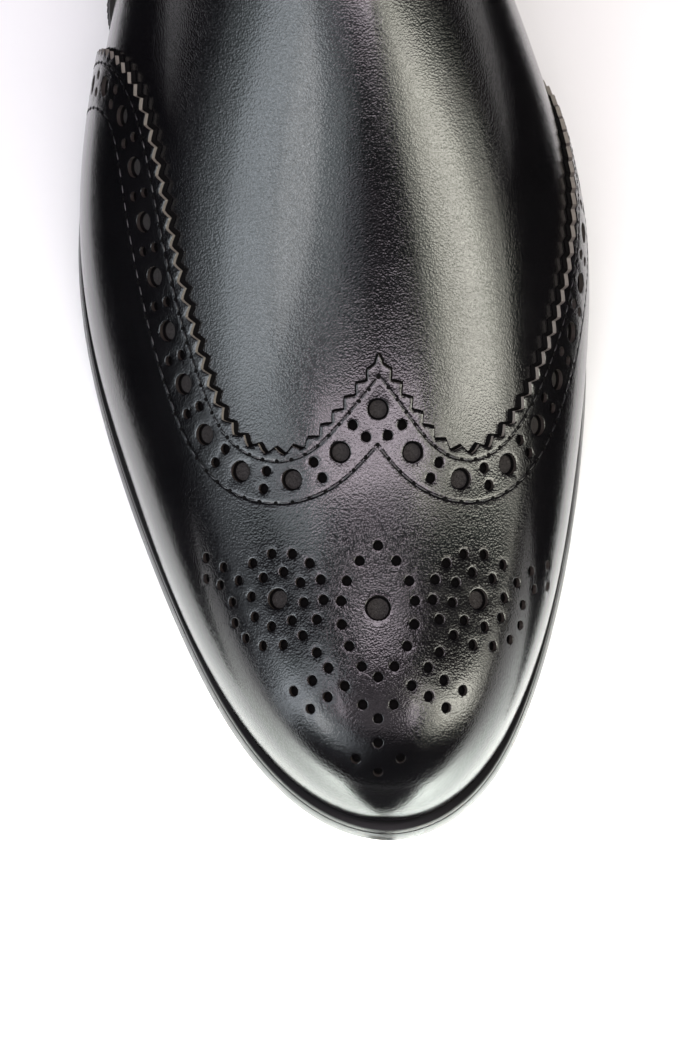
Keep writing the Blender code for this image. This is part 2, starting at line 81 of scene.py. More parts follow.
COLUMNS = ("station", "lateral", "medial", "ridge_x", "ridge_h", "crown", "rise", "lateral_out", "medial_out",
           "welt_lateral", "welt_medial")
SECTIONS = np.array((
    (0.0, -12.0, -12.0, -12.0, 84.0, 1.0, 0.80, 0.0, 0.0, 2.6, 2.6),
    (10.0, -32.6, 8.6, -12.0, 88.0, 11.0, 0.80, 4.0, 4.0, 2.6, 2.6),
    (35.0, -42.0, 18.0, -12.5, 92.0, 12.0, 0.80, 5.0, 5.0, 2.7, 2.7),
    (70.0, -43.0, 17.5, -13.0, 95.0, 13.0, 0.78, 6.0, 7.0, 3.0, 2.8),
    (110.0, -46.0, 14.5, -11.0, 92.0, 14.0, 0.70, 8.0, 11.0, 3.4, 3.2),
    (145.0, -54.0, 27.0, -6.0, 82.0, 16.0, 0.60, 9.0, 14.0, 3.8, 3.6),
    (175.0, -57.2, 37.2, -2.0, 67.0, 18.0, 0.54, 8.0, 12.0, 3.8, 3.6),
    (200.0, -54.5, 39.1, 0.0, 53.0, 21.0, 0.56, 5.5, 7.5, 3.6, 3.6),
    (225.0, -47.5, 37.3, 0.0, 41.5, 21.0, 0.66, 3.5, 4.5, 3.6, 3.4),
    (250.0, -38.6, 33.3, 0.0, 33.5, 17.0, 0.78, 2.5, 3.0, 3.2, 3.1),
    (270.0, -29.2, 27.5, 0.3, 28.5, 12.5, 0.86, 1.5, 2.0, 3.4, 3.3),
    (286.0, -18.2, 19.7, 1.0, 21.5, 7.5, 0.90, 0.8, 0.8, 3.7, 3.7),
    (297.0, 2.2, 2.2, 2.2, 0.0, 0.5, 0.90, 0.0, 0.0, 4.2, 4.2),
))
COLLAR = np.array(((0.0, 88.0), (25.0, 83.0), (60.0, 76.0), (90.0, 83.0), (108.0, 93.0), (118.0, 102.0)))

# Wing cap's back edge from the peak to the sole: share of the way from ridge to sole, station
WING_LATERAL = np.array((
    (0.0, 214.5), (0.07, 220.0), (0.148, 225.5), (0.235, 229.8), (0.322, 230.0), (0.403, 226.3), (0.457, 217.0),
    (0.49, 204.0), (0.51, 192.0), (0.533, 178.0), (0.58, 163.0), (0.70, 150.0), (0.86, 143.5), (1.0, 141.0),
))
WING_MEDIAL = np.array((
    (0.0, 214.5), (0.07, 219.5), (0.15, 225.5), (0.23, 229.5), (0.30, 230.0), (0.385, 227.0), (0.47, 219.7),
    (0.55, 209.0), (0.62, 197.0), (0.67, 186.0), (0.72, 172.0), (0.785, 158.0), (0.875, 147.5), (1.0, 143.0),
))

# Medallion: distance from the middle line and station of each small hole, in plan
MEDALLION_MIDDLE = (249.5, 274.6, 282.1, 286.2, 290.7)
MEDALLION_PAIRS = (
    (3.5, 252.4), (5.95, 256.2), (7.05, 260.0), (6.9, 264.5), (5.5, 268.7), (3.1, 272.6),
    (2.95, 279.6), (4.25, 288.6), (11.65, 269.6), (9.45, 272.6), (12.5, 274.7), (16.05, 276.2),
    (6.35, 276.1), (9.55, 277.9), (12.85, 279.7),
    (29.65, 251.2), (30.25, 254.3), (33.1, 248.6), (33.05, 252.4),
)
MEDALLION_CENTRE = 261.5
ROSETTE = (19.15, 258.8)
ROSETTE_RINGS = ((5.15, 8, 12.8), (8.8, 14, 5.5))

# Short steps along and across the upper, from which its slopes are read
STATION_STEP = 0.1
SHARE_STEP = 0.002


class Side(Enum):
    """The two sides of the shoe, with the sign of x and u on each."""

    LATERAL = -1.0
    MEDIAL = 1.0


class Punch(Enum):
    """The punches that cut the brogueing, by the radius of their holes."""

    SMALL = 0.98
    BIG = 2.05
    CENTRE = 2.4


def spline_bend(knots: Array, values: Array) -> Array:
    """Return the bend at each knot of the natural cubic through the knots.

    Args:
        knots: Rising places of the knots.
        values: Value at each knot.

    Returns:
        The bends.
    """
    step = np.diff(knots)
    count = len(knots)
    system = np.eye(count)
    rhs = np.zeros(count)
    for i in range(1, count - 1):
        system[i, i - 1:i + 2] = step[i - 1], 2 * (step[i - 1] + step[i]), step[i]
        rhs[i] = 6 * ((values[i + 1] - values[i]) / step[i] - (values[i] - values[i - 1]) / step[i - 1])
    return np.linalg.solve(system, rhs)


def natural_spline(knots: Array, values: Array, at: Array, bend: Array | None = None) -> Array:
    """Read the natural cubic through the knots.

    Args:
        knots: Rising places of the knots.
        values: Value at each knot.
        at: Places to read.
        bend: Bend at each knot, where it is known already.

    Returns:
        The values at those places.
    """
    at = np.asarray(at, float)
    bend = spline_bend(knots, values) if bend is None else bend
    k = np.clip(np.searchsorted(knots, at) - 1, 0, len(knots) - 2)
    h = np.diff(knots)[k]
    a = (knots[k + 1] - at) / h
    b = 1 - a
    bow = (a ** 3 - a) * bend[k] + (b ** 3 - b) * bend[k + 1]
    return a * values[k] + b * values[k + 1] + bow * h * h / 6


@lru_cache(maxsize=None)
def section_spline(name: str, length: float) -> tuple[Array, Array, Array]:
    """Return the knots, values and bends of one column of the section table.

    Args:
        name: Name of the column.
        length: Length of the last.

    Returns:
        Knots, values and bends.
    """
    knots = np.arccos(np.clip(1 - 2 * SECTIONS[:, 0] / length, -1, 1))
    values = SECTIONS[:, COLUMNS.index(name)]
    return knots, values, spline_bend(knots, values)


def unit(vectors: Array) -> Array:
    """Return vectors at length one."""
    return vectors / np.maximum(np.linalg.norm(vectors, axis=-1, keepdims=True), 1e-9)


def running_length(places: Array) -> Array:
    """Return the length run along a line of places, from 0 at its start."""
    return np.concatenate([[0.0], np.cumsum(np.linalg.norm(np.diff(places, axis=0), axis=1))])


def full_turn(count: int) -> Array:
    """Return this many angles, evenly spread over one turn."""
    return np.linspace(0, 2 * math.pi, count, endpoint=False)


def close_in(low: Array, high: Array, short: Callable[[Array], Array], rounds: int) -> Pair:
    """Halve spans round the place where a test changes.

    Args:
        low: Starts of the spans, where the test holds.
        high: Ends of the spans, where it doesn't.
        short: The test, for places between.
        rounds: How often the spans are halved.

    Returns:
        The starts and ends of the spans that are left.
    """
    for _ in range(rounds):
        middle = (low + high) / 2
        held = short(middle)
        low, high = np.where(held, middle, low), np.where(held, high, middle)
    return low, high


def wall_curve(v: Array, rise: Array) -> Array:
    """Return the share of the ridge's height that the wall has at share v of the way up."""
    w = 1 - v
    return 3 * w * w * v * rise + 3 * w * v * v + v ** 3


def left_of(outline: Array) -> Array:
    """Return the direction to the left of a closed outline at each of its points."""
    travel = np.roll(outline, -1, 0) - np.roll(outline, 1, 0)
    return unit(np.stack([-travel[:, 1], travel[:, 0]], -1))


@dataclass(frozen=True)
class Last:
    """The last that the upper is pulled over, and the sole's line under it."""

    length: float = 297.0
    breast: float = 70.0
    seat_end: float = 40.0
    flat_start: float = 158.0
    flat_end: float = 208.0
    throat: float = 118.0
    heel_rise: float = 22.0
    toe_spring: float = 12.0
    spring_power: float = 2.4
    outsole_t: float = 4.0
    welt_t: float = 2.2
    gap: float = 0.3
    heel_full: float = 18.0
    heel_lean: float = 6.0
    heel_span: float = 45.0
    lean_end: float = 80.0
    crown_limit: float = 0.7
    toe_start: float = 250.0
    shift: tuple[float, float] = (0.0, 0.0)

    @classmethod
    def from_frame(cls) -> "Last":
        """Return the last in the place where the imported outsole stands.

        Returns:
            The last, shifted.
        """
        plain = cls()
        low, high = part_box("outsole")
        lateral, _ = plain.sole_edge(plain.sole_stations(42), 0.0)
        return cls(shift=(low.x / MM - lateral[:, 0].min(), high.y / MM + lateral[:, 1].min()))

    def to_row(self, points: Array) -> Array:
        """Turn (x, f, z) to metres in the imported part's frame."""
        return (points * (1.0, -1.0, 1.0) + (self.shift[0], self.shift[1], 0.0)) * MM

    def station_angle(self, f: Array) -> Array:
        """Return the angle that makes widths close round at toe and heel."""
        return np.arccos(np.clip(1 - 2 * np.asarray(f, float) / self.length, -1, 1))

    def angle_station(self, angle: Array) -> Array:
        """Return the station of an angle."""
        return self.length * (1 - np.cos(angle)) / 2

    def column(self, name: str, f: Array) -> Array:
        """Return a column of the section table at stations f."""
        knots, values, bend = section_spline(name, self.length)
        return natural_spline(knots, values, self.station_angle(f), bend)

    def sole_line(self, f: Array) -> Array:
        """Return the height of the outsole's underside.

        Args:
            f: Stations.

        Returns:
            Heights above the floor.
        """
        f = np.asarray(f, float)
        arch = np.clip((self.flat_start - f) / (self.flat_start - self.seat_end), 0, 1)
        toe = np.clip((f - self.flat_end) / (self.length - self.flat_end), 0, 2)
        lifted_seat = self.heel_rise * arch ** 3 * (10 - 15 * arch + 6 * arch ** 2)
        return lifted_seat + self.toe_spring * toe ** self.spring_power

    def feather_z(self, f: Array) -> Array:
        """Return the height where the upper's wall starts."""
        return self.sole_line(f) + self.outsole_t + self.gap

    def wall_height(self, f: Array, v: Array) -> Array:
        """Return the height above the feather line at share v of the way up to the ridge."""
        return np.maximum(self.column("ridge_h", f), 0.0) * wall_curve(v, self.column("rise", f))

    def point(self, f: Array, u: Array) -> Array:
        """Return places on the upper's outside.

        Args:
            f: Stations.
            u: Shares from lateral to medial sole.

        Returns:
            Places in (x, f, z).
        """
        f, u = np.broadcast_arrays(np.asarray(f, float), np.asarray(u, float))
        lateral = u < 0
        foot = np.where(lateral, self.column("lateral", f), self.column("medial", f))
        out = np.where(lateral, -self.column("lateral_out", f), self.column("medial_out", f))
        side = np.where(lateral, -1.0, 1.0)
        ridge = self.column("ridge_x", f)
        reach = np.minimum(self.column("crown", f), self.crown_limit * np.abs(foot - ridge))
        v = 1 - np.abs(u)
        w = 1 - v
        x = (w ** 3 * foot + 3 * w * w * v * (foot + out) + 3 * w * v * v * (ridge + side * reach)
             + v ** 3 * ridge)
        rise = self.wall_height(f, v)
        bow = ((rise - self.heel_full) / self.heel_span) ** 2 - (self.heel_full / self.heel_span) ** 2
        lean = self.heel_lean * bow * np.clip(1 - f / self.lean_end, 0, 1) ** 2
        return np.stack([x, f + lean, self.feather_z(f) + rise], -1)

    def normal(self, f: Array, u: Array) -> Array:
        """Return the outward direction at places on the upper.

        Args:
            f: Stations.
            u: Shares.

        Returns:
            Directions of length one.
        """
        f, u = np.broadcast_arrays(np.asarray(f, float), np.asarray(u, float))
        by_u, by_f = 2 * SHARE_STEP, 2 * STATION_STEP
        across = self.point(f, np.clip(u + by_u, -1, 1)) - self.point(f, np.clip(u - by_u, -1, 1))
        along = (self.point(np.clip(f + by_f, 0, self.length), u)
                 - self.point(np.clip(f - by_f, 0, self.length), u))
        return unit(np.cross(across, along))

    def lifted(self, f: Array, u: Array, lift: Array | float) -> Array:
        """Return places at a distance outside the upper."""
        return self.point(f, u) + np.asarray(lift, float)[..., None] * self.normal(f, u)

    def walk(self, f: Array, u: Array, move: Array, lift: float) -> Pair:
        """Move places along the lifted surface.

        Args:
            f: Stations to start from.
            u: Shares to start from.
            move: Step of each place, in (x, f, z).
            lift: Height of the surface above the upper.

        Returns:
            The stations and shares after the step.
        """
        along = self.lifted(f + STATION_STEP, u, lift) - self.lifted(f - STATION_STEP, u, lift)
        across = self.lifted(f, u + SHARE_STEP, lift) - self.lifted(f, u - SHARE_STEP, lift)
        along, across = along / (2 * STATION_STEP), across / (2 * SHARE_STEP)
        ff, uu, fu = ((a * b).sum(-1) for a, b in ((along, along), (across, across), (along, across)))
        by_f, by_u = (move * along).sum(-1), (move * across).sum(-1)
        area = ff * uu - fu * fu
        return f + (by_f * uu - by_u * fu) / area, u + (by_u * ff - by_f * fu) / area

    def share_at_height(self, f: Array, height: Array | float) -> Array:
        """Return the share of the way up to the ridge where the wall stands this high.

        Args:
            f: Stations.
            height: Heights above the feather line.

        Returns:
            The shares.
        """
        f, height = np.broadcast_arrays(np.asarray(f, float), np.asarray(height, float))
        ridge, rise = np.maximum(self.column("ridge_h", f), 0.0), self.column("rise", f)
        start, stop = np.zeros_like(f), np.ones_like(f)
        low, high = close_in(start, stop, lambda v: ridge * wall_curve(v, rise) < height, 40)
        return (low + high) / 2

    def collar_share(self, f: Array) -> Array:
        """Return the share of the way up where the collar cuts the wall, 1 in front of the throat.

        Args:
            f: Stations.

        Returns:
            The shares.
        """
        f = np.asarray(f, float)
        height = natural_spline(COLLAR[:, 0], COLLAR[:, 1], np.minimum(f, self.throat)) - self.feather_z(f)
        return np.where(f < self.throat - 1e-6, self.share_at_height(f, height), 1.0)

    def panel_u(self, f: Array, t: Array, foot: float) -> Array:
        """Return u for a share t of the way from the ridge to a panel's foot."""
        return np.asarray(t, float) * (1 - self.share_at_height(f, foot))

    def tip_station(self, height: float) -> float:
        """Return the station near the toe where the ridge stands this high above the feather line."""
        low, _ = close_in(self.toe_start, self.length, lambda f: self.column("ridge_h", f) > height, 50)
        return float(low)

    def offset_sides(self, f: Array, lateral_by: Array | float, medial_by: Array | float) -> Pair:
        """Move the feather outline outward.

        Args:
            f: Stations, from the heel's back.
            lateral_by: Distance on the lateral side.
            medial_by: Distance on the medial side.

        Returns:
            The lateral and the medial half, each as rows of x and f.
        """
        angle = self.station_angle(f)
        before, after = self.angle_station(angle - 1e-3), self.angle_station(angle + 1e-3)
        halves = []
        for side, by in ((Side.LATERAL, lateral_by), (Side.MEDIAL, medial_by)):
            name = side.name.lower()
            slope = np.stack([self.column(name, after) - self.column(name, before), after - before], -1)
            slope[0] = (side.value, 0.0)
            if f[-1] > self.length - 1e-6:
                slope[-1] = (-side.value, 0.0)
            slope = unit(slope)
            outward = np.stack([slope[:, 1], -slope[:, 0]], -1) * side.value
            moved = outward * np.broadcast_to(by, f.shape)[:, None]
            halves.append(np.stack([self.column(name, f), f], -1) + moved)
        return halves[0], halves[1]

    def sole_edge(self, f: Array, inset: Array | float) -> Pair:
        """Return the sole's outline, drawn in by an inset."""
        lateral, medial = self.column("welt_lateral", f), self.column("welt_medial", f)
        return self.offset_sides(f, lateral - inset, medial - inset)

    def sole_stations(self, count: int, end: float | None = None) -> Array:
        """Return stations from the heel's back, close together at the round ends.

        Args:
            count: How many.
            end: Last station, where it isn't the toe.

        Returns:
            The stations.
        """
        if end is None:
            return self.length * (1 - np.cos(np.linspace(0, math.pi, count))) / 2
        return end * (1 - np.cos(np.linspace(0, math.pi / 2, count)))


def grid_faces(rows: int, across: int, loop_rows: bool = False, loop_across: bool = False) -> Array:
    """Return the quads of a grid of points laid row by row.

    Args:
        rows: Count of rows.
        across: Points in a row.
        loop_rows: Whether the last row joins the first.
        loop_across: Whether each row is a closed loop.

    Returns:
        Four indices for each quad.
    """
    i, j = np.meshgrid(np.arange(rows - (not loop_rows)), np.arange(across - (not loop_across)), indexing="ij")
    here, after, beside = i * across, (i + 1) % rows * across, (j + 1) % across
    return np.stack([here + j, here + beside, after + beside, after + j], -1).reshape(-1, 4)


class MeshDraft:
    """Gathers the points and faces of one piece before they become a mesh."""

    def __init__(self) -> None:
        """Start with nothing."""
        self.points: list[Array] = []
        self.faces: list[list[int]] = []
        self.finishes: list[int] = []
        self.count = 0

    def add(self, points: Array, faces: Array, finish: int = 0) -> int:
        """Add points with their faces.

        Args:
            points: Places in (x, f, z), of any grid shape.
            faces: Rows of indices into these points.
            finish: Which of the piece's materials the faces take.

        Returns:
            The index of the first point added.
        """
        start = self.count
        points = np.asarray(points, float).reshape(-1, 3)
        self.points.append(points)
        self.count += len(points)
        self.join(np.asarray(faces) + start, finish)
        return start

    def join(self, faces: Array, finish: int = 0) -> None:
        """Add faces between points that are there already."""
        self.faces.extend(np.asarray(faces)[:, ::-1].tolist())
        self.finishes.extend([finish] * len(faces))

    def to_object(self, name: str, materials: Sequence[bpy.types.Material], last: Last, sharp: float = 42.0,
                  weld: bool = True) -> bpy.types.Object:
        """Make the piece's object.

        Args:
            name: Name of the piece.
            materials: Its finishes, in the order that the faces count them.
            last: Gives the row's frame.
            sharp: Angle in degrees beyond which an edge is drawn sharp.
            weld: Whether points at one place are joined and faces turned outward.

        Returns:
            The object, linked to the scene.
        """
        mesh = bpy.data.meshes.new(name)
        mesh.from_pydata(last.to_row(np.concatenate(self.points)).tolist(), [], self.faces)
        for material in materials:
            mesh.materials.append(material)
        mesh.polygons.foreach_set("material_index", self.finishes)
        if weld:
            work = bmesh.new()
            work.from_mesh(mesh)
            bmesh.ops.remove_doubles(work, verts=work.verts, dist=2e-6)
            bmesh.ops.dissolve_degenerate(work, edges=work.edges, dist=1e-7)
            bmesh.ops.recalc_face_normals(work, faces=work.faces)
            work.to_mesh(mesh)
            work.free()
        mesh.polygons.foreach_set("use_smooth", [True] * len(mesh.polygons))
        mesh.set_sharp_from_angle(angle=math.radians(sharp))
        made = bpy.data.objects.new(name, mesh)
        bpy.context.scene.collection.objects.link(made)
        return made


def settle(piece: bpy.types.Object, slot: str, *nodes: str) -> bpy.types.Object:
    """Tie a piece to the part's body and report it.

    Args:
        piece: The finished object.
        slot: Not used.
        nodes: Solids that it stands for.

    Returns:
        The same object.
    """
    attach(piece, BODY)
    if nodes:
        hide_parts(*nodes)
    LOG.info("%s: %d faces, stands for %s", piece.name, len(piece.data.polygons), ", ".join(nodes) or "detail")
    return piece


@dataclass
class SurfaceLine:
    """A line drawn on the upper, as matching stations and shares."""

    last: Last
    f: Array
    u: Array
    lift: float

    def places(self) -> Array:
        """Return the line's places."""
        return self.last.lifted(self.f, self.u, self.lift)

    def total(self) -> float:
        """Return the line's length."""
        return float(running_length(self.places())[-1])

    def at(self, distance: Array | float) -> Pair:
        """Return the station and share at distances from the start."""
        run = running_length(self.places())
        return np.interp(distance, run, self.f), np.interp(distance, run, self.u)

    def evenly(self, spacing: float) -> "SurfaceLine":
        """Return the line with its points evenly spaced.

        Args:
            spacing: Length from point to point.

        Returns:
            The new line.
        """
        total = self.total()
        f, u = self.at(np.linspace(0.0, total, max(2, round(total / spacing) + 1)))
        return SurfaceLine(self.last, f, u, self.lift)

    def sideways(self) -> Array:
        """Return the direction to the left of the line, seen from outside, along the surface."""
        travel = unit(np.gradient(self.places(), axis=0))
        return np.cross(self.last.normal(self.f, self.u), travel)

    def moved(self, by: Array | float, steps: int = 1) -> "SurfaceLine":
        """Return the line moved to its left along the surface.

        Args:
            by: Distance, one for all points or one for each.
            steps: Count of short steps that the move is made in.

        Returns:
            The moved line.
        """
        line = self
        for _ in range(steps):
            move = line.sideways() * (np.broadcast_to(by, line.f.shape) / steps)[:, None]
            f, u = self.last.walk(line.f, line.u, move, self.lift)
            line = SurfaceLine(self.last, f, u, self.lift)
        return line


@dataclass(frozen=True)
class Hole:
    """One punched hole: its place on the upper and its punch."""

    f: float
    u: float
    punch: Punch


def srgb(code: str) -> tuple[float, float, float, float]:
    """Turn an sRGB hex colour to linear red, green, blue and alpha.

    Args:
        code: Hash sign and six hex digits.

    Returns:
        The four linear values.
    """
    parts = [int(code[i:i + 2], 16) / 255 for i in (1, 3, 5)]
    red, green, blue = (c / 12.92 if c <= 0.04045 else ((c + 0.055) / 1.055) ** 2.4 for c in parts)
    return red, green, blue, 1.0


def add_node(tree: bpy.types.NodeTree, kind: str, inputs: dict[str | int, object] | None = None,
             **settings: object) -> bpy.types.Node:
    """Add a node with its settings and links.

    Args:
        tree: Where the node goes.
        kind: Blender's name of the node.
        inputs: Value of an input, or the output that feeds it, by the input's name or number.
        settings: Properties of the node.

    Returns:
        The new node.
    """
    node = tree.nodes.new(kind)
    for name, value in settings.items():
        setattr(node, name, value)
    for key, value in (inputs or {}).items():
        if isinstance(value, bpy.types.NodeSocket):
            tree.links.new(value, node.inputs[key])
        else:
            node.inputs[key].default_value = value
    return node


def per_mm(size: float) -> float:
    """Return the texture scale that makes one cell this many millimetres wide."""
    return 1.0 / (size * MM)


@dataclass(frozen=True)
class Finish:
    """A material's base: its name, colour and gloss."""

    name: str
    colour: str
    second: str
    roughness: float = 0.4
    rough_swing: float = 0.06
    metallic: float = 0.0
    coat: float = 0.0
    coat_roughness: float = 0.1
    specular: float = 0.5
    patch_mm: float = 14.0

    def start(self) -> tuple[bpy.types.Material, bpy.types.NodeTree, bpy.types.Node, bpy.types.NodeSocket]:
        """Make the material with its colour patches and its uneven gloss.

        Returns:
            The material, its tree, its shader and the output with object coordinates.
        """
        material = bpy.data.materials.new(self.name)
        material.use_nodes = True
        tree = material.node_tree
        shader = tree.nodes["Principled BSDF"]
        where = add_node(tree, "ShaderNodeTexCoord").outputs["Object"]
        patches = add_node(tree, "ShaderNodeTexNoise",
                           {"Vector": where, "Scale": per_mm(self.patch_mm), "Detail": 4.0, "Roughness": 0.6})
        colour = add_node(tree, "ShaderNodeMix",
                          {0: patches.outputs["Fac"], 6: srgb(self.colour), 7: srgb(self.second)},
                          data_type="RGBA")
        gloss = add_node(tree, "ShaderNodeMapRange",
                         {0: patches.outputs["Fac"], 1: 0.3, 2: 0.7, 3: self.roughness - self.rough_swing,
                          4: self.roughness + self.rough_swing})
        tree.links.new(colour.outputs[2], shader.inputs["Base Color"])
        tree.links.new(gloss.outputs[0], shader.inputs["Roughness"])
        shader.inputs["Metallic"].default_value = self.metallic
        shader.inputs["Coat Weight"].default_value = self.coat
        shader.inputs["Coat Roughness"].default_value = self.coat_roughness
        shader.inputs["Specular IOR Level"].default_value = self.specular
        return material, tree, shader, where

    def make(self) -> bpy.types.Material:
        """Make the plain material."""
        return self.start()[0]


@dataclass(frozen=True)
class CalfFinish(Finish):
    """Full-grain calf, dyed through, plated and waxed: fine pebbles under a soft shine.

    The pebbles break the edges of each reflection into sparks, and the wax keeps the middle of it smooth.
    """

    grain_mm: float = 0.38
    grain_depth: float = 0.04
    grain_shade: tuple[float, float] = (1.05, 0.78)
    pore_mm: float = 0.3
    pull_mm: float = 22.0
    pull_depth: float = 0.05
    bend_mm: float = 1.6
    bend_by: float = 0.7

    def make(self) -> bpy.types.Material:
        """Make the leather.

        Returns:
            The material.
        """
        material, tree, shader, where = self.start()
        bend = add_node(tree, "ShaderNodeTexNoise",
                        {"Vector": where, "Scale": per_mm(self.bend_mm), "Detail": 2.0})
        shaken = add_node(tree, "ShaderNodeVectorMath",
                          {0: bend.outputs["Color"], 1: (self.bend_by * MM,) * 3, 2: where},
                          operation="MULTIPLY_ADD")
        pebbles = add_node(tree, "ShaderNodeTexVoronoi",
                           {"Vector": shaken.outputs[0], "Scale": per_mm(self.grain_mm), "Smoothness": 0.6},
                           feature="SMOOTH_F1")
        # Hair pores are about 0.1 mm across; they are drawn at 0.3 mm so that they show
        pores = add_node(tree, "ShaderNodeTexNoise",
                         {"Vector": where, "Scale": per_mm(self.pore_mm), "Detail": 3.0, "Roughness": 0.6})
        relief = add_node(tree, "ShaderNodeMath",
                          {0: pores.outputs["Fac"], 1: 0.3, 2: pebbles.outputs["Distance"]},
                          operation="MULTIPLY_ADD")
        # Wax stays on the pebbles and is wiped out of the creases between them
        shine = add_node(tree, "ShaderNodeMapRange",
                         {0: pebbles.outputs["Distance"], 1: 0.36, 2: 0.64,
                          3: self.specular * self.grain_shade[0], 4: self.specular * self.grain_shade[1]})
        tree.links.new(shine.outputs[0], shader.inputs["Specular IOR Level"])
        pull = add_node(tree, "ShaderNodeTexNoise",
                        {"Vector": where, "Scale": per_mm(self.pull_mm), "Detail": 2.0, "Roughness": 0.4})
        wide = add_node(tree, "ShaderNodeBump",
                        {"Strength": 1.0, "Distance": self.pull_depth * MM, "Height": pull.outputs["Fac"]})
        fine = add_node(tree, "ShaderNodeBump",
                        {"Strength": 1.0, "Distance": self.grain_depth * MM, "Height": relief.outputs[0],
                         "Normal": wide.outputs["Normal"]}, invert=True)
        tree.links.new(fine.outputs["Normal"], shader.inputs["Normal"])
        return material


@dataclass(frozen=True)
class FibreFinish(Finish):
    """Cut or raw leather: loose fibres that scatter light and hide the shine."""

    fibre_mm: float = 0.45
    stretch: tuple[float, float, float] = (1.0, 1.0, 1.0)
    depth: float = 0.12

    def make(self) -> bpy.types.Material:
        """Make the raw surface.

        Returns:
            The material.
        """
        material, tree, shader, where = self.start()
        laid = add_node(tree, "ShaderNodeMapping", {"Vector": where, "Scale": self.stretch})
        fibres = add_node(tree, "ShaderNodeTexNoise",
                          {"Vector": laid.outputs[0], "Scale": per_mm(self.fibre_mm), "Detail": 5.0,
                           "Roughness": 0.7, "Distortion": 0.8})
        bump = add_node(tree, "ShaderNodeBump",
                        {"Strength": 1.0, "Distance": self.depth * MM, "Height": fibres.outputs["Fac"]})
        tree.links.new(bump.outputs["Normal"], shader.inputs["Normal"])
        return material


@dataclass(frozen=True)
class ThreadFinish(Finish):
    """Waxed thread, twisted from plies: short slanted ribs with a dull shine."""

    twist_mm: float = 0.5
    twist_depth: float = 0.06

    def make(self) -> bpy.types.Material:
        """Make the thread.

        Returns:
            The material.
        """
        material, tree, shader, where = self.start()
        plies = add_node(tree, "ShaderNodeTexWave",
                         {"Vector": where, "Scale": per_mm(self.twist_mm) / 6.28, "Distortion": 1.5,
                          "Detail": 1.0}, bands_direction="DIAGONAL")
        bump = add_node(tree, "ShaderNodeBump",
                        {"Strength": 0.6, "Distance": self.twist_depth * MM, "Height": plies.outputs["Fac"]})
        tree.links.new(bump.outputs["Normal"], shader.inputs["Normal"])
        return material


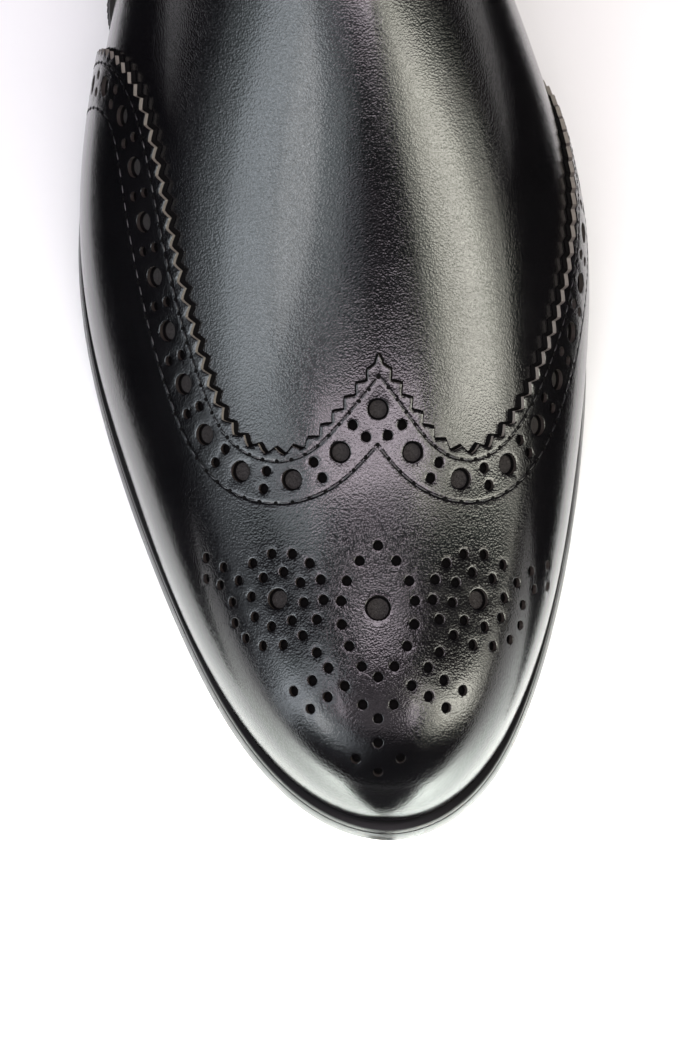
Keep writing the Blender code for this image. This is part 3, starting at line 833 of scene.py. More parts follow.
class Wardrobe:
    """Every finish on the shoe, made once and handed out by its role."""

    def __init__(self) -> None:
        """Make the materials."""
        black = {"colour": "#060607", "second": "#0e0d0f", "roughness": 0.18, "rough_swing": 0.03, "coat": 0.25,
                 "coat_roughness": 0.12}
        # Box calf is black all through and waxed: the lights show on it as soft shapes with grainy rims
        self.vamp, self.cap, self.quarter, self.strap, self.tongue = (
            CalfFinish("box_calf_" + made, **black).make()
            for made in ("plated_and_waxed", "cap_hand_polished", "quarter_waxed", "strap_waxed",
                         "tongue_waxed"))
        # Punched and pared edges are stained but not polished, so they stay dull and a little brown
        self.raw = FibreFinish("calf_cut_edge_stained", "#0b0908", "#1d1612", roughness=0.7,
                               patch_mm=1.2).make()
        # The gimped edge keeps the pale core of the leather, so lit teeth stand out as small blocks
        self.gimped = FibreFinish("calf_gimped_edge_raw", "#5e5a53", "#89847b", roughness=0.6, patch_mm=0.7,
                                  fibre_mm=0.35).make()
        # A punch leaves a rough brown wall
        self.punched = FibreFinish("calf_punched_wall_raw", "#1c1815", "#332c26", roughness=0.7, patch_mm=0.7,
                                   fibre_mm=0.35).make()
        # What lies behind a hole is the flesh side of the leather under it: matt, grey and fibrous
        self.flesh = FibreFinish("calf_flesh_side", "#0a0a0a", "#4a4745", roughness=0.55, rough_swing=0.12,
                                 fibre_mm=0.6, patch_mm=0.35, specular=0.22, depth=0.6).make()
        # Deep in a hole there is next to no light
        self.shade = FibreFinish("calf_hole_in_shade", "#030303", "#0b0a0a", roughness=0.85, patch_mm=0.9,
                                 specular=0.1).make()
        # Glazed lining is thin and pale, with a weak sheen
        self.lining = CalfFinish("calf_lining_glazed", "#8a5e3c", "#9b6d48", roughness=0.5, rough_swing=0.08,
                                 grain_mm=0.9, grain_depth=0.03).make()
        self.sock = CalfFinish("calf_insole_cover", "#7d5334", "#946643", roughness=0.55, rough_swing=0.08,
                               grain_mm=1.0, grain_depth=0.04).make()
        # The welt's top is inked and boned smooth
        self.welt = FibreFinish("welt_leather_inked_and_boned", "#0a0a0b", "#151415", roughness=0.42,
                                rough_swing=0.05, fibre_mm=0.9, depth=0.03, specular=0.2).make()
        # Sole edges are trimmed, inked and burnished with wax: fine lines run along the layers
        self.edge = FibreFinish("sole_edge_inked_and_burnished", "#0b0b0c", "#18181a", roughness=0.3,
                                rough_swing=0.07, fibre_mm=1.4, stretch=(0.25, 0.25, 2.5), depth=0.05).make()
        # The tread is oak-tanned and left bare: pale, dry and cloudy
        self.tread = FibreFinish("sole_leather_oak_tanned", "#8e6a48", "#a37f5a", roughness=0.55,
                                 rough_swing=0.1, fibre_mm=0.8, depth=0.06, patch_mm=9.0).make()
        # Moulded rubber is a dull, even grey black
        self.rubber = FibreFinish("heel_rubber_moulded", "#0f0f0f", "#191919", roughness=0.62, fibre_mm=0.7,
                                  depth=0.05).make()
        # Waxed thread is a little lighter than the leather, with a spark on each ply
        self.thread = ThreadFinish("polyester_thread_waxed", "#0e0e0f", "#1c1c1e", roughness=0.4,
                                   specular=0.7).make()
        # Turned steel, brushed along the frame: long soft streaks of light
        self.steel = FibreFinish("steel_brushed", "#b9b7b2", "#d2d0cb", roughness=0.26, metallic=1.0,
                                 fibre_mm=0.5, stretch=(1.0, 0.15, 1.0), depth=0.012).make()
        # The floor is a roll of matt paper, and the cards are matt black
        self.paper = FibreFinish("floor_paper_matt", "#dadada", "#dedede", roughness=0.9, rough_swing=0.03,
                                 specular=0.1, fibre_mm=1.5, depth=0.01, patch_mm=90.0).make()
        self.card = FibreFinish("card_black_matt", "#040404", "#060606", roughness=0.9, specular=0.1,
                                patch_mm=40.0).make()


@dataclass
class Stitching:
    """Rows of thread: each stitch rises from one needle hole and dips into the next."""

    last: Last
    gauge: float = 0.14
    rise: float = 0.06
    dip: float = 0.14
    needle: float = 0.4
    gap: float = 0.3
    around: int = 6
    along: int = 5
    bow_power: float = 0.7
    end_share: float = 0.55
    flatness: float = 1.15
    needle_sides: int = 8
    needle_lip: float = 0.03
    needle_depth: float = 0.12
    threads: MeshDraft = field(default_factory=MeshDraft)
    needles: MeshDraft = field(default_factory=MeshDraft)

    def row(self, line: SurfaceLine, pitch: float, lift: float, start: float = 0.0,
            groove: float = 0.0) -> None:
        """Sew one row.

        Args:
            line: Where the row runs.
            pitch: Length from one needle hole to the next.
            lift: Height of the leather's face above the upper.
            start: Length left free at each end.
            groove: Depth of the groove that the row lies in.
        """
        room = line.total() - 2 * start
        count = max(1, round(room / pitch))
        pitch = room / count
        bow = np.linspace(0, 1, self.along)
        at = start + (np.arange(count)[:, None] + (self.gap / 2 + bow * (1 - self.gap))[None, :]) * pitch
        f, u = line.at(at.ravel())
        normal = self.last.normal(f, u).reshape(count, self.along, 3)
        height = lift - groove - self.dip + (self.dip + self.rise) * np.sin(math.pi * bow) ** self.bow_power
        middle = self.last.point(f, u).reshape(count, self.along, 3) + normal * height[None, :, None]
        travel = unit(np.gradient(middle, axis=1))
        beside = np.cross(normal, travel)
        turn = full_turn(self.around)[None, None, :, None]
        thin = self.gauge * np.array([self.end_share] + [1.0] * (self.along - 2) + [self.end_share])
        rings = (middle[:, :, None] + thin[None, :, None, None] * (
            beside[:, :, None] * np.cos(turn) * self.flatness + normal[:, :, None] * np.sin(turn)))
        tube = grid_faces(self.along, self.around, loop_across=True)
        size = self.along * self.around
        faces = (tube[None] + (np.arange(count) * size)[:, None, None]).reshape(-1, 4)
        begin = self.threads.add(rings, faces)
        for lid in (np.arange(self.around)[::-1], np.arange(self.around) + size - self.around):
            self.threads.join(lid[None] + begin + (np.arange(count) * size)[:, None])
        self.needle_holes(line, start + np.arange(count + 1) * pitch, lift)

    def needle_holes(self, line: SurfaceLine, at: Array, lift: float) -> None:
        """Open the needle holes of a row, as small black cups of painted shade.

        Args:
            line: Where the row runs.
            at: Places of the holes along it.
            lift: Height of the leather's face.
        """
        f, u = line.at(at)
        normal = self.last.normal(f, u)
        centre = self.last.point(f, u)
        travel = unit(np.gradient(centre, axis=0))
        beside = np.cross(normal, travel)
        sides = self.needle_sides
        turn = full_turn(sides)[None, :, None]
        spin = travel[:, None] * np.cos(turn) + beside[:, None] * np.sin(turn)
        mouth = centre[:, None] + normal[:, None] * (lift + self.needle_lip) + spin * self.needle
        floor = centre[:, None] + normal[:, None] * (lift - self.needle_depth) + spin * self.needle * 0.5
        every = np.arange(len(at)) * 2 * sides
        faces = grid_faces(2, sides, loop_across=True)[None] + every[:, None, None]
        begin = self.needles.add(np.concatenate([mouth, floor], 1), faces.reshape(-1, 4))
        self.needles.join(np.arange(sides)[None] + sides + begin + every[:, None])
        self.needles.join(np.arange(sides)[None, ::-1] + begin + every[:, None])

    def sew(self, where: Callable[[Array, Array], Pair], along: Array, across: Array, lift: float,
            pitch: float) -> None:
        """Sew one row on a panel, a stitch short of its ends.

        Args:
            where: The panel's map to stations and shares.
            along: Places of the row along the panel.
            across: Places of the row across it.
            lift: Height of the panel's face above the upper.
            pitch: Length from one needle hole to the next.
        """
        f, u = where(*np.broadcast_arrays(along, across))
        self.row(SurfaceLine(self.last, f, u, lift), pitch, lift, 1.0)

    def build(self, finishes: Wardrobe) -> None:
        """Make the thread and the needle holes."""
        settle(self.threads.to_object("stitches", [finishes.thread], self.last, weld=False), "upper_calf")
        # The needle holes take the near-black of painted shade
        settle(self.needles.to_object("needle_holes", [finishes.shade], self.last, weld=False), "upper_calf")


@dataclass
class WingCap:
    """The wing cap: a sheet with a gimped W edge, two stitched grooves, a brogued band and a medallion."""

    last: Last
    finishes: Wardrobe
    stitching: Stitching
    top: float = 1.7
    seat: float = 0.1
    foot: float = 2.5
    tooth_pitch: float = 3.5
    tooth_depth: float = 1.4
    row_inset: float = 2.55
    hole_inset: float = 6.3
    low_inset: float = 10.6
    widening: float = 0.12
    hole_pitch: float = 10.9
    pair_half: float = 1.7
    row_pitch: float = 2.9
    low_pitch: float = 3.4
    row_groove: tuple[float, float] = (0.08, 0.24)
    low_groove: tuple[float, float] = (0.11, 0.24)
    wall_split: float = 0.45
    shadow_margin: float = 0.5
    edge_drop: float = 0.10
    lip_drop: float = 0.08
    lip_width: float = 0.2
    edge_round: float = 0.3
    spacing: float = 1.15
    back: float = 132.0
    samples: int = 500
    fine: float = 0.4
    widen_from: float = 0.25
    foot_clear: float = 0.6
    end_clear: float = 3.0
    tooth_points: int = 8
    small_teeth: tuple[float, float] = (0.15, 0.16)
    groove_lanes: tuple[float, ...] = (0.0, -0.14, 0.14, -0.28, 0.28, -0.5, 0.5, -0.9, 0.9)
    lane_spacing: float = 0.6
    lane_apart: float = 0.13
    hole_clear: float = 0.12
    shadow_fade: float = 16.0
    backing_sides: int = 18
    backing_rings: tuple[tuple[float, float], ...] = ((0.15, 0.04), (-0.36, 0.2))

    def __post_init__(self) -> None:
        """Measure the flat pattern, which lies across and along the cap, both near true size."""
        start = float(self.last.station_angle(self.back))
        self.stations = self.last.angle_station(np.linspace(start, math.pi - 0.004, self.samples))
        self.ridge_run = running_length(self.last.point(self.stations, np.zeros(self.samples)))
        shares = np.linspace(0, 1, 60)
        self.half = {}
        for side in Side:
            section = self.last.point(self.stations[:, None], side.value * shares[None, :])
            self.half[side] = np.linalg.norm(np.diff(section, axis=1), axis=2).sum(1)

    def girth(self, f: Array, lateral: Array) -> Array:
        """Return the length from ridge to sole at stations, on the lateral side or the medial."""
        return np.where(lateral, *(np.interp(f, self.stations, self.half[side]) for side in Side))

    def flatten(self, f: Array, u: Array) -> Array:
        """Return places of the flat pattern."""
        return np.stack([u * self.girth(f, u < 0), np.interp(f, self.stations, self.ridge_run)], -1)

    def unflatten(self, flat: Array) -> Pair:
        """Return stations and shares of places of the flat pattern."""
        f = np.interp(flat[:, 1], self.ridge_run, self.stations)
        return f, flat[:, 0] / self.girth(f, flat[:, 0] < 0)

    def edge(self, side: Side) -> SurfaceLine:
        """Return the line of the teeth's tips on one side, from the peak to the sole.

        Args:
            side: Which side.

        Returns:
            The line.
        """
        rows = WING_LATERAL if side is Side.LATERAL else WING_MEDIAL
        chord = running_length(rows * (70.0, 1.0))
        at = np.linspace(0.0, chord[-1], self.samples)
        share = np.clip(natural_spline(chord, rows[:, 0], at), 0.0, 1.0)
        f = natural_spline(chord, rows[:, 1], at)
        u = side.value * self.last.panel_u(f, share, self.foot)
        return SurfaceLine(self.last, f, u, self.top).evenly(self.fine)

    def inner_line(self, side: Side, inset: float) -> SurfaceLine:
        """Return the line inside the edge on one side, cut where it meets the middle.

        Args:
            side: Which side.
            inset: Distance from the teeth's tips at the dip.

        Returns:
            The line from the middle to the sole.
        """
        edge = self.edge(side)
        run = np.linspace(0, 1, len(edge.f))
        spread = 1 + self.widening * np.clip((run - self.widen_from) / self.widen_from, 0, 1)
        line = edge.moved(side.value * inset * spread, max(2, round(inset)))
        beyond = np.nonzero(side.value * line.u <= 1e-4)[0]
        first = beyond[-1] if len(beyond) else 0
        f, u = line.f[first:].copy(), line.u[first:].copy()
        share = np.clip(u[0] / (u[0] - u[1]), 0.0, 1.0)
        f[0], u[0] = f[0] + share * (f[1] - f[0]), 0.0
        keep = np.abs(u) < 1 - self.last.share_at_height(f, self.foot + self.foot_clear)
        stop = len(keep) if keep.all() else int(np.argmin(keep))
        return SurfaceLine(self.last, f[:stop], u[:stop], self.top).evenly(self.fine)

    def teeth(self, side: Side) -> Pair:
        """Return the gimped edge on one side, from the peak to the sole.

        Args:
            side: Which side.

        Returns:
            Stations and shares.
        """
        edge = self.edge(side)
        count = round(edge.total() / self.tooth_pitch) * self.tooth_points + 1
        at = np.linspace(0.0, edge.total(), count)
        wave = 1 - np.abs((np.arange(count) % self.tooth_points) / (self.tooth_points / 2) - 1)
        # The teeth are small at the peak and grow to full size beside it
        depth = self.tooth_depth * wave * np.clip(self.small_teeth[0] + self.small_teeth[1] * at, 0, 1)
        f, u = edge.at(at)
        run = SurfaceLine(self.last, f, u, self.top).moved(side.value * depth, 2)
        return run.f, run.u

    def outline(self) -> Pair:
        """Return the whole outline: the gimped edge from lateral to medial sole, then round the toe.

        Returns:
            Stations and shares.
        """
        lateral, medial = self.teeth(Side.LATERAL), self.teeth(Side.MEDIAL)
        tip = self.last.tip_station(self.foot)
        feet = []
        for side, ends in ((Side.MEDIAL, medial), (Side.LATERAL, lateral)):
            start, stop = (float(self.last.station_angle(f)) for f in (ends[0][-1], tip))
            f = self.last.angle_station(np.linspace(start, stop, 130)[1:])
            feet.append((f, side.value * (1 - self.last.share_at_height(f, self.foot))))
        f, u = (np.concatenate([lateral[k][::-1], medial[k][1:], feet[0][k][:-1], feet[1][k][::-1]])
                for k in (0, 1))
        return f, u

    def band_holes(self) -> list[Hole]:
        """Return the holes of the band: a big one, then a small pair across the band, and so on.

        Returns:
            The holes.
        """
        holes = []
        for side in Side:
            line = self.inner_line(side, self.hole_inset)
            total = line.total()
            for k in range(int(total / self.hole_pitch) + 1):
                big, pair = k * self.hole_pitch, (k + 0.5) * self.hole_pitch
                if big < total - self.end_clear and (k or side is Side.LATERAL):
                    f, u = line.at(big)
                    holes.append(Hole(float(f), float(u), Punch.BIG))
                if pair < total - self.end_clear:
                    f, u = line.at(np.array([pair - self.fine, pair, pair + self.fine]))
                    for by in (-self.pair_half, self.pair_half):
                        beside = SurfaceLine(self.last, f, u, self.top).moved(by)
                        holes.append(Hole(float(beside.f[1]), float(beside.u[1]), Punch.SMALL))
        return holes

    def seen_at(self, x: Array, f: Array) -> Array:
        """Return the shares of places at plan distances from the middle."""
        far = np.full_like(x, 0.8)
        return close_in(-far, far, lambda u: self.last.lifted(f, u, self.top)[:, 0] < x, 30)[0]

    def medallion_holes(self) -> list[Hole]:
        """Return the medallion: a pointed oval, a rosette on each side and tails of dots.

        Returns:
            The holes.
        """
        middle = np.array([*MEDALLION_MIDDLE, MEDALLION_CENTRE])
        shares = self.seen_at(np.zeros_like(middle), middle)
        punches = [Punch.SMALL] * len(MEDALLION_MIDDLE) + [Punch.CENTRE]
        holes = [Hole(float(f), float(u), punch) for f, u, punch in zip(middle, shares, punches)]
        spots = [(*ROSETTE, Punch.BIG)] + [(x, f, Punch.SMALL) for x, f in MEDALLION_PAIRS]
        for radius, count, turn in ROSETTE_RINGS:
            for angle in np.radians(turn + 360.0 * np.arange(count) / count):
                x, f = ROSETTE[0] - radius * math.cos(angle), ROSETTE[1] + radius * math.sin(angle)
                spots.append((x, f, Punch.SMALL))
        x, f = (np.array([spot[k] for spot in spots]) for k in (0, 1))
        for side in Side:
            shares = self.seen_at(side.value * x, f)
            holes += [Hole(spot[1], float(share), spot[2]) for spot, share in zip(spots, shares)]
        return holes

    def rims(self, holes: Sequence[Hole], wider: float, count: int) -> Pair:
        """Return a circle on the cap round each hole.

        Args:
            holes: The holes.
            wider: How far outside the hole's edge the circle runs.
            count: Points in a circle.

        Returns:
            Stations and shares, a row for each hole.
        """
        f, u = np.array([h.f for h in holes])[:, None], np.array([h.u for h in holes])[:, None]
        radius = np.array([h.punch.value + wider for h in holes])[:, None, None]
        out = self.last.normal(f, u)
        first = unit(np.cross(out, (0.0, 1.0, 0.0)))
        turn = full_turn(count)[None, :, None]
        move = radius * (np.cos(turn) * first + np.sin(turn) * np.cross(out, first))
        return self.last.walk(np.repeat(f, count, 1), np.repeat(u, count, 1), move, self.top)

    def build(self) -> None:
        """Cut, punch and dress the cap."""
        holes = self.band_holes() + self.medallion_holes()
        rows = [self.inner_line(side, self.row_inset) for side in Side]
        lows = [self.inner_line(side, self.low_inset) for side in Side]
        flat, loops, owner = self.pattern(holes, rows + lows)
        f, u = self.unflatten(flat)
        outline_f, outline_u = self.outline()
        f[:len(outline_f)], u[:len(outline_u)] = outline_f, outline_u
        edges = [(loop[i], loop[(i + 1) % len(loop)]) for loop in loops for i in range(len(loop))]
        _, _, faces, origin, _, _ = delaunay_2d_cdt([Vector(p) for p in flat], edges, [], 1, 1e-7)
        back = np.array([o[0] if o else -1 for o in origin])
        faces = back[np.array([face for face in faces if len(face) == 3])]
        inside_hole = (owner[faces] == owner[faces[:, :1]]).all(1) & (owner[faces[:, 0]] >= 0)
        faces = faces[(faces >= 0).all(1) & ~inside_hole]
        level = self.last.lifted(f, u, self.top)
        drop = np.zeros(len(f))
        for lines, groove in ((rows, self.row_groove), (lows, self.low_groove)):
            drop = np.maximum(drop, sink(level, lines, groove))
        drop[loops[0]] = self.edge_drop
        for loop in loops[1:]:
            drop[loop] = self.lip_drop
        out = self.last.normal(f, u)
        raised = level - out * drop[:, None]
        low_f, low_u = f.copy(), u.copy()
        # The gimped edge's black lower wall slants out onto the vamp as a painted contact shadow
        low_f[loops[0]], low_u[loops[0]] = self.unflatten(self.shadow_widened(flat[loops[0]]))
        bottom = self.last.lifted(low_f, low_u, self.seat)
        draft = MeshDraft()
        draft.add(raised, faces, 0)
        under = draft.add(bottom, faces[:, ::-1], 3)
        # The upper half of each cut edge shows the leather's core; the lower half is painted shade, inked too on
        # the gimped edge
        between = self.last.lifted(f, u, self.seat + self.wall_split * (self.top - self.seat))
        for number, loop in enumerate(loops):
            ring = np.array(loop)
            half = draft.add(between[ring], np.empty((0, 4), int)) + np.arange(len(ring))
            after, half_after = np.roll(ring, -1), np.roll(half, -1)
            draft.join(np.stack([after, ring, half, half_after], -1), 2 if number else 1)
            draft.join(np.stack([half_after, half, ring + under, after + under], -1), 3)
        coats = [self.finishes.cap, self.finishes.gimped, self.finishes.punched, self.finishes.shade]
        cap = draft.to_object("wing_cap_brogued", coats, self.last, weld=False)
        smooth_normals(cap, len(faces), unit(out + face_normals(raised, faces) - face_normals(level, faces)))
        settle(cap, "wing_calf", "wing_cap")
        self.back_holes(holes)
        for row, low in zip(rows, lows):
            self.stitching.row(row, self.row_pitch, self.top, groove=self.row_groove[0])
            self.stitching.row(low, self.low_pitch, self.top, groove=self.low_groove[0])

    def pattern(self, holes: Sequence[Hole],
                lines: Sequence[SurfaceLine]) -> tuple[Array, list[list[int]], Array]:
        """Lay out the points of the flat pattern.

        Args:
            holes: Holes to punch.
            lines: Middle lines of the stitched grooves.

        Returns:
            The points, the closed loops of their indices with the outline first, and for each point the hole
            whose edge it is on, or -1.
        """
        outline = self.flatten(*self.outline())
        points, loops, owners = [outline], [list(range(len(outline)))], [np.full(len(outline), -1)]
        count = len(outline)
        collars = []
        for kinds, sides in (((Punch.SMALL,), 16), ((Punch.BIG, Punch.CENTRE), 28)):
            group = [hole for hole in holes if hole.punch in kinds]
            edges = self.flatten(*self.rims(group, 0.0, sides))
            for number, edge in enumerate(edges):
                points.append(edge)
                owners.append(np.full(sides, number + sides * 1000))
                loops.append(list(range(count, count + sides)))
                count += sides
            collars.append(self.flatten(*self.rims(group, self.lip_width, sides)).reshape(-1, 2))
        fixed = np.concatenate(points)
        gentle = [*collars, self.inside_edge(outline)]
        for line in lines:
            lanes = [line.evenly(self.lane_spacing).moved(by) for by in self.groove_lanes]
            gentle += [self.flatten(lane.f, lane.u) for lane in lanes]
        low, high = outline.min(0), outline.max(0)
        across = np.arange(low[0], high[0], self.spacing)
        along = np.arange(low[1], high[1], self.spacing * 0.87)
        grid = np.stack(np.meshgrid(across, along), -1)
        grid[1::2, :, 0] += self.spacing / 2
        centres = self.flatten(np.array([h.f for h in holes]), np.array([h.u for h in holes]))
        radii = np.array([h.punch.value for h in holes]) + self.hole_clear
        kept = [fixed]
        batches = ((np.concatenate(gentle), self.lane_apart), (grid.reshape(-1, 2), self.spacing * 0.55))
        for batch, apart in batches:
            batch = batch[inside(batch, outline)]
            clear = np.ones(len(batch), bool)
            for centre, radius in zip(centres, radii):
                clear &= ((batch - centre) ** 2).sum(1) > radius ** 2
            kept.append(thinned(batch[clear], np.concatenate(kept), apart))
        flat = np.concatenate(kept)
        owner = np.concatenate([*owners, np.full(len(flat) - count, -1)])
        return flat, loops, owner

    def shadow_widened(self, outline: Array) -> Array:
        """Return the outline widened along the gimped edge, so that its black lower wall shows on the leather
        below as a painted contact shadow.

        Args:
            outline: Points of the flat pattern's outline.

        Returns:
            The widened outline.
        """
        after = np.roll(outline, -1, 0)
        turning = np.sign((outline[:, 0] * after[:, 1] - after[:, 0] * outline[:, 1]).sum())
        outward = -turning * left_of(outline)
        count = len(self.teeth(Side.LATERAL)[0]) + len(self.teeth(Side.MEDIAL)[0]) - 1
        place = np.arange(len(outline))
        share = np.clip(np.minimum(place, count - place) / self.shadow_fade, 0.0, 1.0)
        return outline + outward * (self.shadow_margin * share)[:, None]

    def inside_edge(self, outline: Array) -> Array:
        """Return points just beside the outline, where its rounded edge ends."""
        aside = left_of(outline) * self.edge_round
        return np.concatenate([outline + aside, outline - aside])

    def back_holes(self, holes: Sequence[Hole]) -> None:
        """Close each big hole with the leather that shows behind it, ringed with painted shade, and each small
        hole with painted shade alone.

        Args:
            holes: The cap's holes.
        """
        draft = MeshDraft()
        count = self.backing_sides
        rings = [self.last.lifted(*self.rims(holes, wider, count), self.seat + rise)
                 for wider, rise in self.backing_rings]
        for hole, outer, inner in zip(holes, *rings):
            # A small hole's disc and a big hole's outer ring are painted shade
            if hole.punch is Punch.SMALL:
                draft.add(outer, np.arange(count)[None], 1)
            else:
                begin = draft.add(np.stack([outer, inner]), grid_faces(2, count, loop_across=True), 1)
                draft.join(np.arange(count)[None] + begin + count, 0)
        coats = [self.finishes.flesh, self.finishes.shade]
        settle(draft.to_object("hole_backing", coats, self.last, weld=False), "upper_calf")


def sink(places: Array, lines: Sequence[SurfaceLine], groove: tuple[float, float]) -> Array:
    """Return how far each place sinks into a stitched groove.

    Args:
        places: Places on the leather's face.
        lines: Middle lines of the groove.
        groove: Its depth and half width.

    Returns:
        The drop at each place.
    """
    spots = np.concatenate([line.evenly(0.15).places() for line in lines])
    tree = KDTree(len(spots))
    for index, spot in enumerate(spots):
        tree.insert(spot, index)
    tree.balance()
    away = np.array([tree.find(place)[2] for place in places])
    return groove[0] * np.exp(-(away / groove[1]) ** 2)


def inside(points: Array, outline: Array) -> Array:
    """Return which points lie inside a closed outline.

    Args:
        points: Places in the plane.
        outline: Corners in order.

    Returns:
        True for each point inside.
    """
    found = np.zeros(len(points), bool)
    x, y = points[:, 0], points[:, 1]
    for (ax, ay), (bx, by) in zip(outline, np.roll(outline, -1, 0)):
        if ay != by:
            found ^= ((ay > y) != (by > y)) & (x < (bx - ax) * (y - ay) / (by - ay) + ax)
    return found


def thinned(points: Array, fixed: Array, apart: float) -> Array:
    """Return the points that keep their distance from the fixed ones and from each other.

    Args:
        points: Points to choose from, in order.
        fixed: Points that stay.
        apart: The distance.

    Returns:
        The points kept.
    """
    taken: dict[tuple[int, int], list[tuple[float, float]]] = {}
    for x, y in fixed:
        taken.setdefault((int(x // apart), int(y // apart)), []).append((x, y))
    kept = []
    for x, y in points:
        i, j = int(x // apart), int(y // apart)
        near = [spot for a in (-1, 0, 1) for b in (-1, 0, 1) for spot in taken.get((i + a, j + b), ())]
        if all((x - p) ** 2 + (y - q) ** 2 > apart * apart for p, q in near):
            kept.append((x, y))
            taken.setdefault((i, j), []).append((x, y))
    return np.array(kept).reshape(-1, 2)


def face_normals(points: Array, faces: Array) -> Array:
    """Return each point's direction, as the mean of its triangles.

    Args:
        points: Places.
        faces: Three indices for each triangle.

    Returns:
        A direction for each point.
    """
    a, b, c = (points[faces[:, k]] for k in range(3))
    flat = np.cross(b - a, c - a)
    total = np.zeros_like(points)
    for k in range(3):
        np.add.at(total, faces[:, k], flat)
    return unit(total)


def smooth_normals(piece: bpy.types.Object, top_faces: int, normals: Array) -> None:
    """Give the first faces of a piece the last's own directions.

    Args:
        piece: The piece.
        top_faces: How many faces, counted from the first, are its face side.
        normals: Direction in (x, f, z) at each of the face side's points.
    """
    mesh = piece.data
    corners = np.empty(len(mesh.loops) * 3, np.float32)
    mesh.corner_normals.foreach_get("vector", corners)
    corners = corners.reshape(-1, 3)
    points = np.empty(len(mesh.loops), np.int32)
    mesh.loops.foreach_get("vertex_index", points)
    count = top_faces * 3
    corners[:count] = (normals * (1.0, -1.0, 1.0))[points[:count]]
    mesh.normals_split_custom_set(corners.tolist())


@dataclass
class Slab:
    """A flat piece of leather with rounded edges, bent to the last."""

    last: Last
    where: Callable[[Array, Array], Pair]
    size: tuple[float, float]
    counts: tuple[int, int]
    low: float
    high: float
    roll: float = 1.0
    drop: float = 0.45
    edge_lines: tuple[float, ...] = (0.0, 0.12, 0.35, 0.65, 1.0)

    def lines(self, axis: int) -> Array:
        """Return the places of the grid's lines, close together at both edges.

        Args:
            axis: 0 along, 1 across.

        Returns:
            Places from 0 to 1.
        """
        edge = np.array(self.edge_lines) * self.roll / self.size[axis]
        inner = np.linspace(edge[-1], 1 - edge[-1], self.counts[axis])
        return np.concatenate([edge[:-1], inner, (1 - edge[:-1])[::-1]])

    def draft(self) -> MeshDraft:
        """Return the slab's draft: finish 0 on the grain side, 1 on the cut edge and the flesh side.

        Returns:
            The draft.
        """
        a, b = np.meshgrid(self.lines(0), self.lines(1), indexing="ij")
        f, u = self.where(a, b)
        away = np.minimum(np.minimum(a, 1 - a) * self.size[0], np.minimum(b, 1 - b) * self.size[1])
        short = np.clip(1 - away / self.roll, 0, 1)
        lift = self.high - self.drop * (1 - np.sqrt(1 - short ** 2))
        rows, across = a.shape
        draft = MeshDraft()
        top = draft.add(self.last.lifted(f, u, lift), grid_faces(rows, across), 0)
        under = draft.add(self.last.lifted(f, u, self.low), grid_faces(rows, across)[:, ::-1], 1)
        index = np.arange(rows * across).reshape(rows, across)
        ring = np.concatenate([index[0], index[1:, -1], index[-1, -2::-1], index[-2:0:-1, 0]])
        after = np.roll(ring, -1)
        draft.join(np.stack([ring + top, ring + under, after + under, after + top], -1), 1)
        return draft


